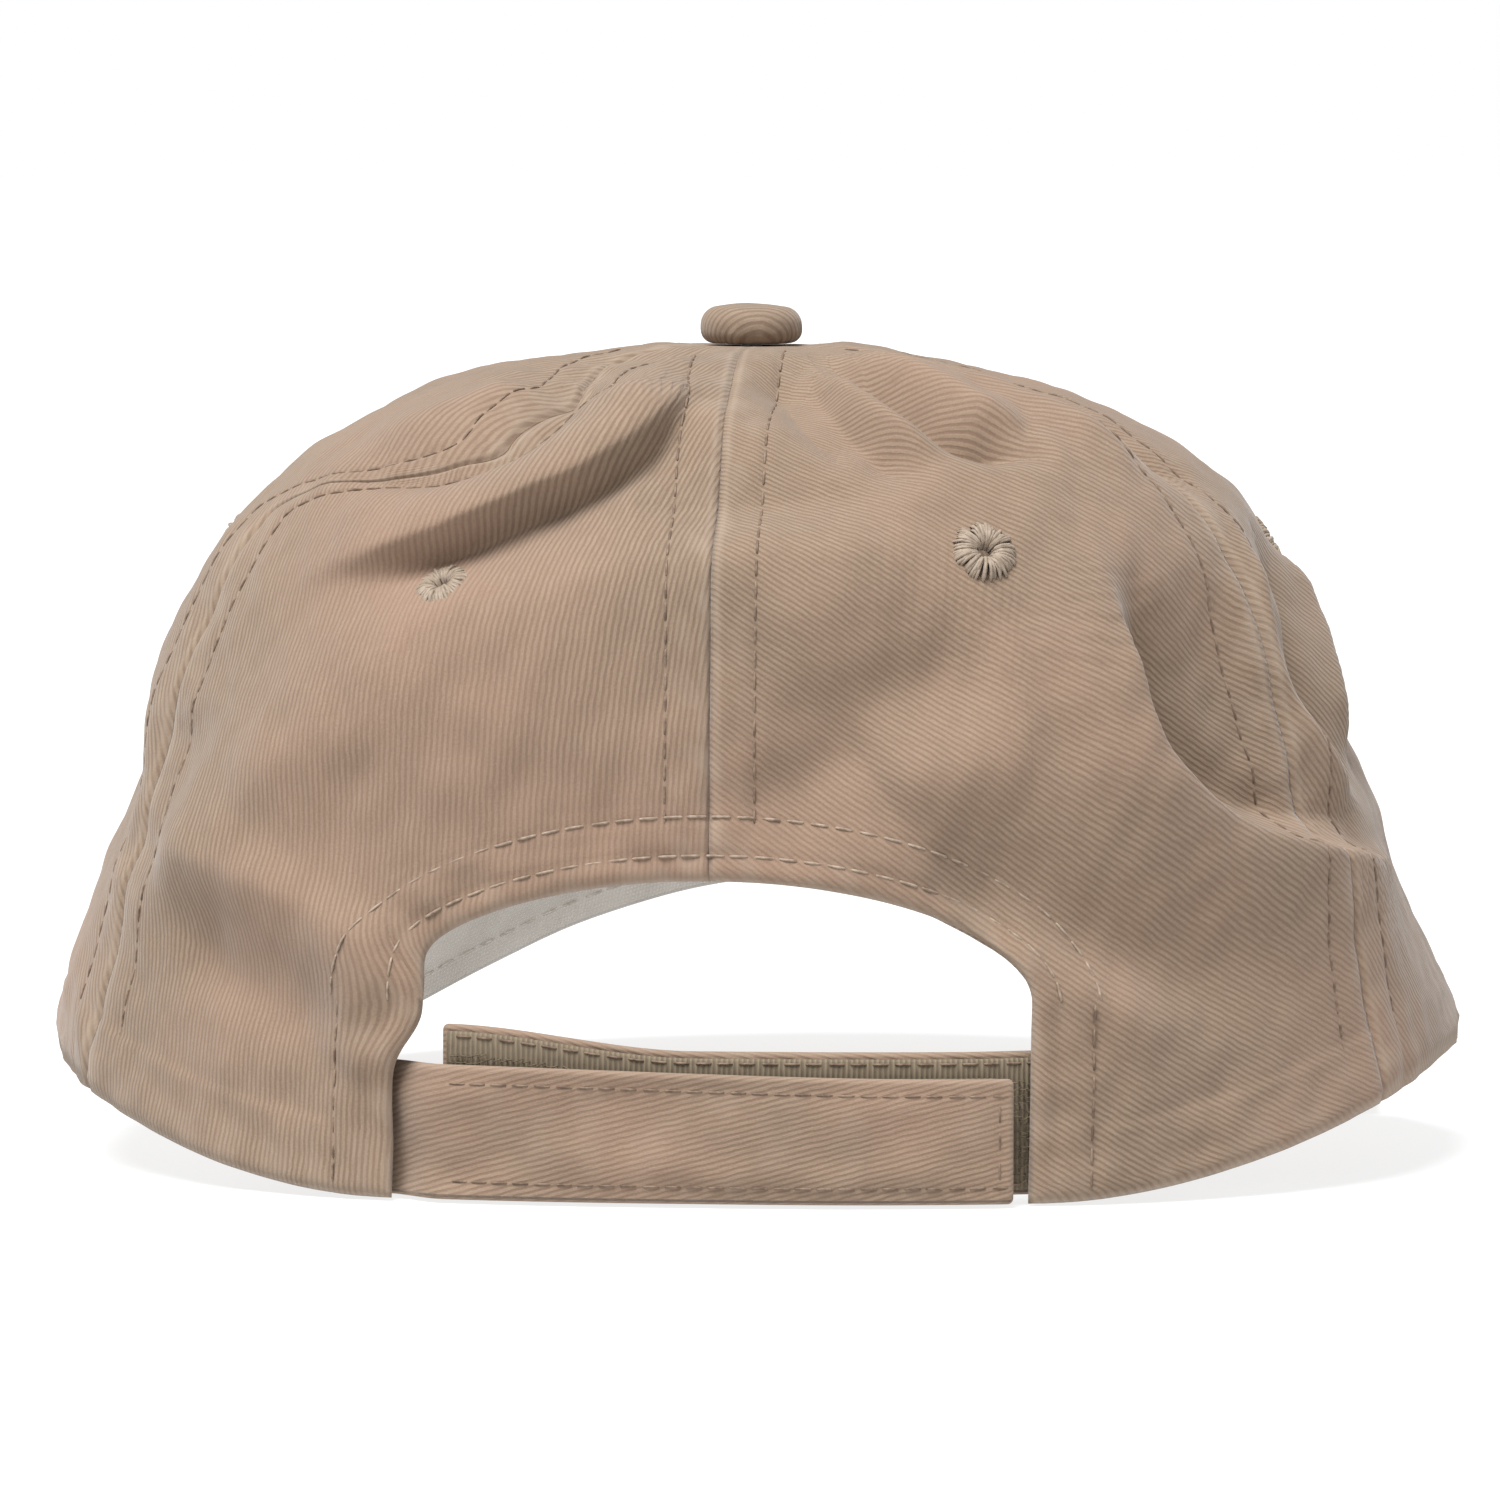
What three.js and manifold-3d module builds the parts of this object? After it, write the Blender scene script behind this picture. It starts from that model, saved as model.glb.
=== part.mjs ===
import * as THREE from 'three';
import Module from 'manifold-3d';
import { mergeVertices } from 'three/addons/utils/BufferGeometryUtils.js';

// Soft six-panel baseball cap, millimetres, +Z up.
// The visor points along -Y and the adjustable back strap is on the +Y side.
// The cap stands on the back strap and on the two lower corners of the visor.

// crown
const HALF_WIDTH = 98;
const BACK_DEPTH = 76;
const FRONT_DEPTH = 80;
const CROWN_HEIGHT = 114;
const LEAN = 9;
const SIDE_RIM_HEIGHT = 15;
const CLOTH = 0.9;
const GAP = 0.3;
const SEAM_GAP = 0.45;
const TOP_HOLE = 3.2;

// back opening
const OPENING_HALF = 43;
const OPENING_SPRING = 27;
const OPENING_RISE = 16.5;

// visor
const VISOR_HALF = 88;
const VISOR_FRONT = 148;
const VISOR_END_ANGLE = 62;
const VISOR_CLOTH = 0.7;
const VISOR_BOARD = 1.9;
const VISOR_SEAM = 0.6;

// tapes, sweatband and straps
const TAPE = 0.8;
const TAPE_HALF = 6;
const BAND = 1.1;
const BAND_HEIGHT = 31;
const STRAP_WIDTH = 18.5;
const STRAP = 1.5;
const OUTER_HINGE_X = 36;
const INNER_HINGE_X = -43.5;
const FASTENER = 0.9;

// angles of the crown's seams, from the centre back round by the wearer's left
const SEAMS = [0, 66, 120, 180, 240, 294, 360];

// eyelets and button
const EYELET_R = 4.4;
const EYELET_BORE = 0.9;
const EYELET_HEIGHT = 87;
const PANEL_HOLE = 1.9;
const BUTTON_R = 7.2;
const BUTTON_HEIGHT = 5.6;

const rad = THREE.MathUtils.degToRad;
const wasm = await Module();
wasm.setup();

// height of the visor's upper face: a wave that is high in the middle and low at both ends
function visorHeight(x, y) {
  return -5.5 + 40.5 * Math.cos((Math.PI * x) / 250) ** 2 + 0.02 * (y + 145);
}

// distance from the cap's axis to the rim, by angle from the centre back
function rimRadius(angle) {
  const power = 2.3 + 0.2 * Math.cos(angle);
  const depth = (BACK_DEPTH + FRONT_DEPTH) / 2 + ((BACK_DEPTH - FRONT_DEPTH) / 2) * Math.cos(angle);
  const across = Math.abs(Math.sin(angle) / HALF_WIDTH) ** power;
  const along = Math.abs(Math.cos(angle) / depth) ** power;
  return (across + along) ** (-1 / power);
}

// height of the rim: flat at the back, raised at the sides, following the visor at the front
function rimHeight(angle) {
  const turn = Math.abs(THREE.MathUtils.radToDeg(Math.atan2(Math.sin(angle), Math.cos(angle))));
  const r = rimRadius(angle);
  const side = SIDE_RIM_HEIGHT * THREE.MathUtils.smoothstep(turn, 32, 85);
  const front = THREE.MathUtils.smoothstep(turn, 95, 122);
  return side * (1 - front) + visorHeight(r * Math.sin(angle), r * Math.cos(angle)) * front;
}

// a point of the crown's outer skin; rise runs from 0 at the rim to 1 at the top
function skin(angle, rise) {
  const lift = (Math.PI / 2) * rise;
  const power = 2 / (2.7 + 0.3 * Math.cos(angle));
  const up = Math.sin(lift) ** power;
  const inward = Math.max(Math.cos(lift), 0) ** power;
  const flare = 0.03 + 0.05 * Math.sin(angle) ** 2;
  const spread = (1 - flare) * inward + flare * Math.exp(-4 * up) * (1 - up);
  const r = rimRadius(angle) * spread;
  const base = rimHeight(angle);
  const y = r * Math.cos(angle) + LEAN * up;
  return new THREE.Vector3(r * Math.sin(angle), y, base + (CROWN_HEIGHT - base) * up);
}

// a point a given depth inside the skin
function within(angle, rise, depth) {
  const low = Math.max(rise - 0.01, 0.0005);
  const along = skin(angle, Math.min(low + 0.02, 0.995)).sub(skin(angle, Math.min(low, 0.975)));
  const around = skin(angle + 0.01, Math.min(rise, 0.98)).sub(skin(angle - 0.01, Math.min(rise, 0.98)));
  const outward = along.cross(around).normalize();
  if (outward.z < -0.4 || outward.dot(new THREE.Vector3(Math.sin(angle), Math.cos(angle), 0.4)) < 0) {
    outward.negate();
  }
  return skin(angle, rise).addScaledVector(outward, -depth);
}

// the rise at which the skin at this angle reaches a height above the floor
function riseAtHeight(angle, height) {
  const base = rimHeight(angle);
  const up = THREE.MathUtils.clamp((height - base) / (CROWN_HEIGHT - base), 0, 1);
  return Math.asin(up ** ((2.7 + 0.3 * Math.cos(angle)) / 2)) / (Math.PI / 2);
}

// the rise at which the skin at this angle comes within r of the axis
function riseAtRadius(angle, r) {
  const inward = r / rimRadius(angle);
  return Math.acos(inward ** ((2.7 + 0.3 * Math.cos(angle)) / 2)) / (Math.PI / 2);
}

// closed solid between two sheets of points, each given over u and v from 0 to 1
function slab(upper, lower, cellsU, cellsV) {
  const positions = [];
  const index = [];
  const row = cellsV + 1;
  const count = (cellsU + 1) * row;
  for (const sheet of [upper, lower]) {
    for (let i = 0; i <= cellsU; i += 1) {
      for (let j = 0; j <= cellsV; j += 1) {
        positions.push(...sheet(i / cellsU, j / cellsV).toArray());
      }
    }
  }
  const quad = (a, b, c, d) => index.push(a, b, c, a, c, d);
  for (let i = 0; i < cellsU; i += 1) {
    for (let j = 0; j < cellsV; j += 1) {
      const a = i * row + j;
      quad(a, a + row, a + row + 1, a + 1);
      quad(count + a, count + a + 1, count + a + row + 1, count + a + row);
    }
  }
  for (let i = 0; i < cellsU; i += 1) {
    const near = i * row;
    const far = near + cellsV;
    quad(near, count + near, count + near + row, near + row);
    quad(far, far + row, count + far + row, count + far);
  }
  for (let j = 0; j < cellsV; j += 1) {
    const last = cellsU * row + j;
    quad(j, j + 1, count + j + 1, count + j);
    quad(last, count + last, count + last + 1, last + 1);
  }
  const geometry = new THREE.BufferGeometry();
  geometry.setAttribute('position', new THREE.Float32BufferAttribute(positions, 3));
  geometry.setIndex(index);
  return facingOut(geometry);
}

// turns every face of a closed geometry outward
function facingOut(geometry) {
  const p = geometry.getAttribute('position');
  const ids = geometry.getIndex().array;
  const a = new THREE.Vector3();
  const b = new THREE.Vector3();
  const c = new THREE.Vector3();
  let volume = 0;
  for (let i = 0; i < ids.length; i += 3) {
    a.fromBufferAttribute(p, ids[i]);
    b.fromBufferAttribute(p, ids[i + 1]);
    c.fromBufferAttribute(p, ids[i + 2]);
    volume += a.dot(b.cross(c));
  }
  if (volume < 0) {
    for (let i = 0; i < ids.length; i += 3) {
      [ids[i], ids[i + 1]] = [ids[i + 1], ids[i]];
    }
  }
  return geometry;
}

// merges equal points and drops the collapsed faces where a turned profile meets its axis
function welded(geometry) {
  const bare = new THREE.BufferGeometry();
  bare.setAttribute('position', geometry.getAttribute('position').clone());
  bare.setIndex(geometry.getIndex());
  const merged = mergeVertices(bare, 1e-4);
  const ids = merged.getIndex().array;
  const kept = [];
  for (let i = 0; i < ids.length; i += 3) {
    const [a, b, c] = [ids[i], ids[i + 1], ids[i + 2]];
    if (a !== b && b !== c && a !== c) {
      kept.push(a, b, c);
    }
  }
  merged.setIndex(kept);
  return facingOut(merged);
}

function toManifold(geometry) {
  const vertProperties = new Float32Array(geometry.getAttribute('position').array);
  const triVerts = new Uint32Array(geometry.getIndex().array);
  return new wasm.Manifold(new wasm.Mesh({ numProp: 3, vertProperties, triVerts }));
}

function fromManifold(solid) {
  const mesh = solid.getMesh();
  const geometry = new THREE.BufferGeometry();
  geometry.setAttribute('position', new THREE.Float32BufferAttribute(mesh.vertProperties, 3));
  geometry.setIndex(Array.from(mesh.triVerts));
  return geometry;
}

function cut(geometry, tools) {
  let solid = toManifold(geometry);
  for (const tool of tools) {
    solid = solid.subtract(toManifold(tool));
  }
  return fromManifold(solid);
}

// solid turned about the Z axis from a closed profile of [radius, height] points
function turned(profile, sides) {
  const loop = [...profile, profile[0]].map(([r, z]) => new THREE.Vector2(r, z));
  return welded(new THREE.LatheGeometry(loop, sides).rotateX(Math.PI / 2));
}

// arched back opening, as a bar that passes through the back of the crown
function openingBar() {
  const outline = new THREE.Shape();
  outline.moveTo(-OPENING_HALF, -10);
  outline.lineTo(OPENING_HALF, -10);
  outline.lineTo(OPENING_HALF, OPENING_SPRING);
  outline.absellipse(0, OPENING_SPRING, OPENING_HALF, OPENING_RISE, 0, Math.PI, false, 0);
  const bar = new THREE.ExtrudeGeometry(outline, { depth: 90, bevelEnabled: false, curveSegments: 20 });
  const indexed = mergeVertices(bar.deleteAttribute('normal').deleteAttribute('uv'), 1e-4);
  return facingOut(indexed.rotateX(Math.PI / 2).translate(0, 120, 0));
}

// angles of the two seams on either side of a panel
function seamsAround(degrees) {
  const first = SEAMS.findLastIndex((seam) => seam <= degrees);
  return [SEAMS[first], SEAMS[first + 1]];
}

// shift that keeps the panel at this angle clear of its neighbours along both seams
function seamShift(degrees) {
  const [from, to] = seamsAround(degrees);
  const middle = rad((from + to) / 2);
  return new THREE.Vector3(Math.sin(middle), Math.cos(middle), 0).multiplyScalar(SEAM_GAP);
}

// where an eyelet sits on a panel: its place on the skin and its outward direction
function eyeletFrame(degrees) {
  const angle = rad(degrees);
  const rise = riseAtHeight(angle, EYELET_HEIGHT);
  const place = within(angle, rise, CLOTH / 2).add(seamShift(degrees));
  const outward = skin(angle, rise).sub(within(angle, rise, 1)).normalize();
  const turn = new THREE.Quaternion().setFromUnitVectors(new THREE.Vector3(0, 0, 1), outward);
  return new THREE.Matrix4().compose(place, turn, new THREE.Vector3(1, 1, 1));
}

// one gore of the crown between two seams, with its eyelet hole
function panel(eyeletDegrees, openings) {
  const [from, to] = seamsAround(eyeletDegrees);
  const sheet = (depth) => (u, v) => {
    const angle = rad(THREE.MathUtils.lerp(from, to, u));
    const rise = riseAtRadius(angle, TOP_HOLE) * (1 - (1 - v) ** 1.2);
    return within(angle, rise, depth).add(seamShift(eyeletDegrees));
  };
  const hole = welded(new THREE.CylinderGeometry(PANEL_HOLE, PANEL_HOLE, 8, 12).rotateX(Math.PI / 2));
  return cut(slab(sheet(0), sheet(CLOTH), 8, 13), [hole.applyMatrix4(eyeletFrame(eyeletDegrees)), ...openings]);
}

// ring of embroidery thread wrapped round the hole in a panel, on both faces of the cloth
function eyelet(degrees) {
  const half = CLOTH / 2 + 0.6;
  const profile = [
    [EYELET_BORE, -half - 0.4],
    [EYELET_R - 1.4, -half - 0.35],
    [EYELET_R - 0.9, -half],
    [EYELET_BORE + 0.6, -half],
    [EYELET_BORE + 0.6, half],
    [EYELET_R, half],
    [EYELET_R - 0.7, half + 0.7],
    [EYELET_BORE + 0.5, half + 0.6],
    [EYELET_BORE, half],
  ];
  return turned(profile, 16).applyMatrix4(eyeletFrame(degrees));
}

// strip of cotton tape under a seam, from one rise to another
function seamTape(degrees, fromRise, toRise, cells) {
  const depth = CLOTH + GAP;
  const sheet = (extra) => (u, v) => {
    const rise = THREE.MathUtils.lerp(fromRise, toRise, 1 - (1 - v) ** 1.2);
    const place = skin(rad(degrees), rise);
    const reach = Math.hypot(place.x, place.y - LEAN * (place.z / CROWN_HEIGHT));
    const offset = (2 * u - 1) * Math.min(Math.atan(TAPE_HALF / reach), 1.2);
    return within(rad(degrees) + offset, rise, depth + extra);
  };
  return slab(sheet(0), sheet(TAPE), 2, cells);
}

function sideTape(degrees) {
  const angle = rad(degrees);
  return seamTape(degrees, riseAtHeight(angle, rimHeight(angle) + 2), riseAtRadius(angle, 13.5), 9);
}

// long tape under the centre seam, from above the back opening over the top to the front rim
function centreTape() {
  const depth = CLOTH + GAP;
  const backRise = riseAtHeight(0, OPENING_SPRING + OPENING_RISE + 13);
  const frontRise = riseAtHeight(Math.PI, rimHeight(Math.PI) + 2);
  const sheet = (extra) => (u, v) => {
    const run = v * 2 - 1;
    const back = run < 0;
    const angle = back ? 0 : Math.PI;
    const start = back ? backRise : frontRise;
    const rise = THREE.MathUtils.lerp(start, 1, 1 - Math.abs(run) ** 1.2);
    const place = within(angle, rise, depth + extra);
    return new THREE.Vector3((2 * u - 1) * TAPE_HALF, place.y, place.z);
  };
  const hole = welded(new THREE.CylinderGeometry(2.2, 2.2, 20, 16).rotateX(Math.PI / 2));
  return cut(slab(sheet(0), sheet(TAPE), 2, 24), [hole.translate(0, LEAN, CROWN_HEIGHT)]);
}

// folded binding strip inside the edge of the back opening
function archFacing() {
  const depth = CLOTH + GAP + 0.1;
  const sheet = (extra) => (u, v) => {
    const turn = Math.PI * (0.04 + 0.92 * u);
    const wide = OPENING_HALF + 0.6 + 10 * v;
    const tall = OPENING_RISE + 0.6 + 9 * v;
    const x = -wide * Math.cos(turn);
    const z = OPENING_SPRING + tall * Math.sin(turn);
    let angle = Math.atan2(x, BACK_DEPTH);
    for (let step = 0; step < 12; step += 1) {
      const place = skin(angle, riseAtHeight(angle, z));
      angle += (x - place.x) / place.y;
    }
    return within(angle, riseAtHeight(angle, z), depth + extra);
  };
  return slab(sheet(0), sheet(TAPE), 20, 2);
}

// absorbent band inside the rim, from one side of the back opening round the front to the other
function sweatband() {
  const depth = CLOTH + GAP + TAPE + GAP + 0.25;
  const sheet = (extra) => (u, v) => {
    const angle = rad(48 + (360 - 96) * u);
    const height = rimHeight(angle) + 0.8 + BAND_HEIGHT * v;
    return within(angle, riseAtHeight(angle, height), depth + extra);
  };
  return slab(sheet(0), sheet(BAND), 44, 3);
}

// plan of the visor: v runs from the crown's rim to the free edge
function visorPlan(u, v, edge) {
  const side = 2 * u - 1;
  const angle = Math.PI + rad(VISOR_END_ANGLE) * side;
  const r = rimRadius(angle) - 2.1;
  const turn = (side * Math.PI) / 2;
  const reach = VISOR_FRONT - 44;
  const outerX = -(VISOR_HALF - edge) * Math.sin(turn);
  const outerY = -44 - (reach - edge) * Math.cos(turn) ** 0.82;
  const x = THREE.MathUtils.lerp(r * Math.sin(angle), outerX, v);
  const y = THREE.MathUtils.lerp(r * Math.cos(angle), outerY, v);
  return [x, y];
}

// one layer of the visor, between two depths below its upper face
function visorLayer(top, bottom, edge) {
  const sheet = (depth) => (u, v) => {
    const [x, y] = visorPlan(u, v, edge);
    return new THREE.Vector3(x, y, visorHeight(x, y) - VISOR_SEAM - depth);
  };
  return slab(sheet(top), sheet(bottom), 28, 6);
}

// y of the back of the cap at a given x, a given depth inside the skin
function backLine(x, depth) {
  return BACK_DEPTH * (1 - Math.abs(x / HALF_WIDTH) ** 2.5) ** 0.4 - depth;
}

// one layer of a back strap between two x positions; depth and lift are functions of x
function strapLayer(fromX, toX, low, high, depth, lift, thickness) {
  const sheet = (extra) => (u, v) => {
    const x = THREE.MathUtils.lerp(fromX, toX, u);
    const z = THREE.MathUtils.lerp(low, high, v) + lift(x);
    return new THREE.Vector3(x, backLine(x, depth(x) + extra), z);
  };
  return slab(sheet(0), sheet(thickness), 16, 1);
}

const level = () => 0;

// the outer strap starts under the edge of its panel and steps out over the inner strap
function outerDepth(x) {
  return THREE.MathUtils.lerp(-2.2, 2.2, THREE.MathUtils.smoothstep(x, 36, 44.5));
}

// the inner strap starts under the opposite panel and lies against the outer strap
function innerDepth(x) {
  return THREE.MathUtils.lerp(0.8, 1.7, THREE.MathUtils.smoothstep(-x, 34, 43));
}

// its free end rides up a little
function innerLift(x) {
  return 4 * THREE.MathUtils.smoothstep(x, 4, 38);
}

// domed button cover of crown cloth, turned in under its edge
function buttonCloth() {
  const profile = [
    [0, BUTTON_HEIGHT],
    [3.4, BUTTON_HEIGHT - 0.25],
    [5.8, BUTTON_HEIGHT - 1.1],
    [7.0, BUTTON_HEIGHT - 2.4],
    [BUTTON_R, BUTTON_HEIGHT - 3.5],
    [6.9, 1.1],
    [6.2, 0.45],
    [4.6, 0.4],
    [4.6, 1.1],
    [5.9, 1.3],
    [6.35, 2.2],
    [6.1, BUTTON_HEIGHT - 2.4],
    [5.1, BUTTON_HEIGHT - 1.6],
    [3.1, BUTTON_HEIGHT - 0.95],
    [0, BUTTON_HEIGHT - 0.75],
  ];
  return turned(profile, 24).translate(0, LEAN, CROWN_HEIGHT);
}

// pressed steel shell inside the button
function buttonShell() {
  const profile = [
    [0, BUTTON_HEIGHT - 1.1],
    [3.0, BUTTON_HEIGHT - 1.3],
    [4.8, BUTTON_HEIGHT - 1.9],
    [5.6, BUTTON_HEIGHT - 2.7],
    [5.9, 2.2],
    [5.5, 1.65],
    [1.9, 1.65],
    [1.9, 2.6],
    [0, 2.6],
  ];
  return turned(profile, 24).translate(0, LEAN, CROWN_HEIGHT);
}

// rivet that passes down from the button through the crown
function buttonRivet() {
  const profile = [
    [0, 2.3],
    [1.5, 2.3],
    [1.5, -4.2],
    [0, -4.2],
  ];
  return turned(profile, 16).translate(0, LEAN, CROWN_HEIGHT);
}

// washer that the rivet is closed over, under the seam tape
function buttonWasher() {
  const profile = [
    [1.8, -2.5],
    [6.2, -2.5],
    [6.0, -3.2],
    [1.8, -3.3],
  ];
  return turned(profile, 20).translate(0, LEAN, CROWN_HEIGHT);
}

const cap = new THREE.Group();

function add(name, geometry, color, roughness, metalness = 0) {
  const material = new THREE.MeshStandardMaterial({ color, roughness, metalness });
  const mesh = new THREE.Mesh(geometry, material);
  mesh.name = name;
  cap.add(mesh);
}

const TWILL = '#b49c88';
const THREAD = '#bcae9e';
const TAPE_COLOR = '#a89682';
const LINING = '#bebab4';

const opening = openingBar();
add('panel_back_left', panel(35, [opening]), TWILL, 0.95);
add('panel_side_left', panel(93, []), TWILL, 0.95);
add('panel_front_left', panel(148, []), TWILL, 0.95);
add('panel_front_right', panel(212, []), TWILL, 0.95);
add('panel_side_right', panel(267, []), TWILL, 0.95);
add('panel_back_right', panel(325, [opening]), TWILL, 0.95);

add('eyelet_back_left', eyelet(35), THREAD, 0.8);
add('eyelet_side_left', eyelet(93), THREAD, 0.8);
add('eyelet_front_left', eyelet(148), THREAD, 0.8);
add('eyelet_front_right', eyelet(212), THREAD, 0.8);
add('eyelet_side_right', eyelet(267), THREAD, 0.8);
add('eyelet_back_right', eyelet(325), THREAD, 0.8);

add('seam_tape_centre', centreTape(), TAPE_COLOR, 0.95);
add('seam_tape_back_left', sideTape(SEAMS[1]), TAPE_COLOR, 0.95);
add('seam_tape_front_left', sideTape(SEAMS[2]), TAPE_COLOR, 0.95);
add('seam_tape_front_right', sideTape(SEAMS[4]), TAPE_COLOR, 0.95);
add('seam_tape_back_right', sideTape(SEAMS[5]), TAPE_COLOR, 0.95);
add('arch_facing', archFacing(), TAPE_COLOR, 0.95);
add('sweatband', sweatband(), LINING, 0.95);

const boardTop = VISOR_CLOTH + GAP;
const boardBottom = boardTop + VISOR_BOARD;
add('visor_cloth_upper', visorLayer(0, VISOR_CLOTH, 0), TWILL, 0.95);
add('visor_board', visorLayer(boardTop, boardBottom, 2), '#e4e2dc', 0.5);
add('visor_cloth_lower', visorLayer(boardBottom + GAP, boardBottom + GAP + VISOR_CLOTH, 0), TWILL, 0.95);

const hookDepth = () => outerDepth(0) + STRAP + GAP;
const backingDepth = (x) => innerDepth(x) + FASTENER + GAP;
const rootEnd = INNER_HINGE_X - GAP;
const outerStart = OUTER_HINGE_X - GAP;
add('strap_outer_root', strapLayer(52, OUTER_HINGE_X, 0, STRAP_WIDTH, outerDepth, level, STRAP), TWILL, 0.95);
add('strap_outer', strapLayer(outerStart, -41, 0, STRAP_WIDTH, outerDepth, level, STRAP), TWILL, 0.95);
add('hook_tape', strapLayer(31, -39, 1, STRAP_WIDTH - 1, hookDepth, level, FASTENER), '#9a907c', 0.7);
add('strap_inner_root', strapLayer(-52, rootEnd, 0.8, 19.5, innerDepth, level, 2.2), TWILL, 0.95);
add('loop_tape', strapLayer(INNER_HINGE_X, 36, 1.6, 19.7, innerDepth, innerLift, FASTENER), '#968c78', 1);
add('strap_inner', strapLayer(INNER_HINGE_X, 37, 0.8, 20.5, backingDepth, innerLift, 1.2), TWILL, 0.95);

add('button_cloth', buttonCloth(), TWILL, 0.95);
add('button_shell', buttonShell(), '#b8b8b6', 0.35, 1);
add('button_rivet', buttonRivet(), '#b8b8b6', 0.35, 1);
add('button_washer', buttonWasher(), '#b8b8b6', 0.35, 1);

export default cap;
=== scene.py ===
import math

import bpy
import numpy as np
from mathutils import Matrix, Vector


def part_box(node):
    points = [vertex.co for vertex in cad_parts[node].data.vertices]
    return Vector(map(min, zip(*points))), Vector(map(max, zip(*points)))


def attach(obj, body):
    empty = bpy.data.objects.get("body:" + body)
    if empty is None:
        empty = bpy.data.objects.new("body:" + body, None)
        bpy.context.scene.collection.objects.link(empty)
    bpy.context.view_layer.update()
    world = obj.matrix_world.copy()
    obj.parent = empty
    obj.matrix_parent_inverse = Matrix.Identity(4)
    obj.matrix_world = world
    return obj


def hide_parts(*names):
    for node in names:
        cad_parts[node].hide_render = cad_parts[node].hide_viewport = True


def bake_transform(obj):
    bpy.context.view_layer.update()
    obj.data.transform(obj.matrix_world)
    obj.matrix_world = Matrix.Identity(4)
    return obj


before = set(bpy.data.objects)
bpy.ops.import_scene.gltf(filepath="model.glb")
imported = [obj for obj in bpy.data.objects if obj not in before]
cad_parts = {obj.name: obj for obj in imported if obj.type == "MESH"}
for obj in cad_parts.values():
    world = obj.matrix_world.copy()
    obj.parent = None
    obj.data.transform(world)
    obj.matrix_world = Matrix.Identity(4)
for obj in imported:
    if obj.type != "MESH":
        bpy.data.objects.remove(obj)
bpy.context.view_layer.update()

# Lengths are millimetres until a mesh is made; the camera and the lights are placed in metres.
# The visor points along -Y, the strap is at +Y.
# Angles run from the centre back round by the left side.
MM = 0.001
HALF_WIDTH = 98.0
BACK_DEPTH = 76.0
FRONT_DEPTH = 80.0
CROWN_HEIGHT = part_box("panel_side_left")[1][2] / MM
LEAN = 9.0
SIDE_RIM_HEIGHT = 15.0
CLOTH = 0.9
# the lighter cloth of the tapes, the facing, the visor and the button
INNER_CLOTH = 0.7
SEAMS = (0, 66, 120, 180, 240, 294, 360)
# distance of the rows of stitches from a seam, and from the edge of the opening
SEAM_ROW = 6.0
ARCH_ROWS = (3.5, 8.8)
OPENING_HALF = 43.0
OPENING_SPRING = 27.0
OPENING_RISE = 16.5
TAPE_DEPTH = 1.25
TAPE_HALF = 6.0
BAND_DEPTH = 2.65
BAND_HEIGHT = 31.0
BAND_END_ANGLE = 48
STRAP_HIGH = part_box("strap_outer")[1][2] / MM
STRAP_WIDTH = 18.5
BUTTON_RADIUS = 7.2
BUTTON_DEPTH = 5.3
VISOR_HALF = 88.0
VISOR_FRONT = 148.0
VISOR_ROOT = 44.0
VISOR_DEEP = 3.9
VISOR_SEAM = 0.6
VISOR_END_ANGLE = 62
# distances from the visor's free edge of its rows of stitches
VISOR_ROWS = (4.5, 11.5, 18.5, 25.5, 32.5, 39.5)
EYELET_HEIGHT = 87.0
EYELET_HOLE = 1.6
EYELET_RADIUS = 4.2
EYELET_THREADS = 84
EYELET_INNER_THREADS = 26
# how far the fold over the back left eyelet has drawn it down, and how deep it then sits in the cloth
EYELET_DRAWN_DOWN = {"back_left": 4.0}
EYELET_SUNK = 0.7
# where each eyelet is round the crown, in degrees
EYELETS = {"back_left": 33, "side_left": 93, "front_left": 148,
           "front_right": 212, "side_right": 267, "back_right": 327}


def make_camera():
    """A long lens behind the cap, low and a little to the wearer's right."""
    turn, lift = math.radians(5), math.radians(4)
    back = Vector((-math.sin(turn) * math.cos(lift), math.cos(turn) * math.cos(lift), math.sin(lift)))
    right = (-back).cross(Vector((0, 0, 1))).normalized()
    up = right.cross(-back)
    target = Vector((0, 0, 0.055)) - right * 0.001 + up * 0.001
    bpy.ops.object.camera_add(location=target + back * 1.25)
    camera = bpy.context.object
    camera.rotation_mode = "QUATERNION"
    camera.rotation_quaternion = (-back).to_track_quat("-Z", "Y")
    camera.data.lens = 210
    camera.data.sensor_width = 36
    bpy.context.scene.camera = camera


make_camera()


# ---------------------------------------------------------------- numbers and small fields

def ease(x, low, high):
    t = np.clip((x - low) / (high - low), 0, 1)
    return t * t * (3 - 2 * t)


def bump(x, width, power=2):
    return np.exp(-np.abs(x / width) ** power)


def mix(first, second, share):
    return first + (second - first) * share


def unit(vectors):
    return vectors / np.maximum(np.linalg.norm(vectors, axis=-1, keepdims=True), 1e-12)


def ripple(points, wavelength, seed, waves=14):
    """Smooth random field of about unit size, made of plane waves with random directions."""
    rng = np.random.default_rng(seed)
    total = np.zeros(points.shape[:-1])
    for _ in range(waves):
        direction = rng.normal(size=3)
        direction *= 2 * np.pi / (wavelength * rng.uniform(0.7, 1.5) * np.linalg.norm(direction))
        total += np.sin(points @ direction + rng.uniform(0, 2 * np.pi))
    return total * math.sqrt(2 / waves)


def run_lengths(points, axis):
    step = np.linalg.norm(np.diff(points, axis=axis), axis=-1)
    start = np.zeros_like(np.take(step, [0], axis=axis))
    return np.cumsum(np.concatenate([start, step], axis=axis), axis=axis)


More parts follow.
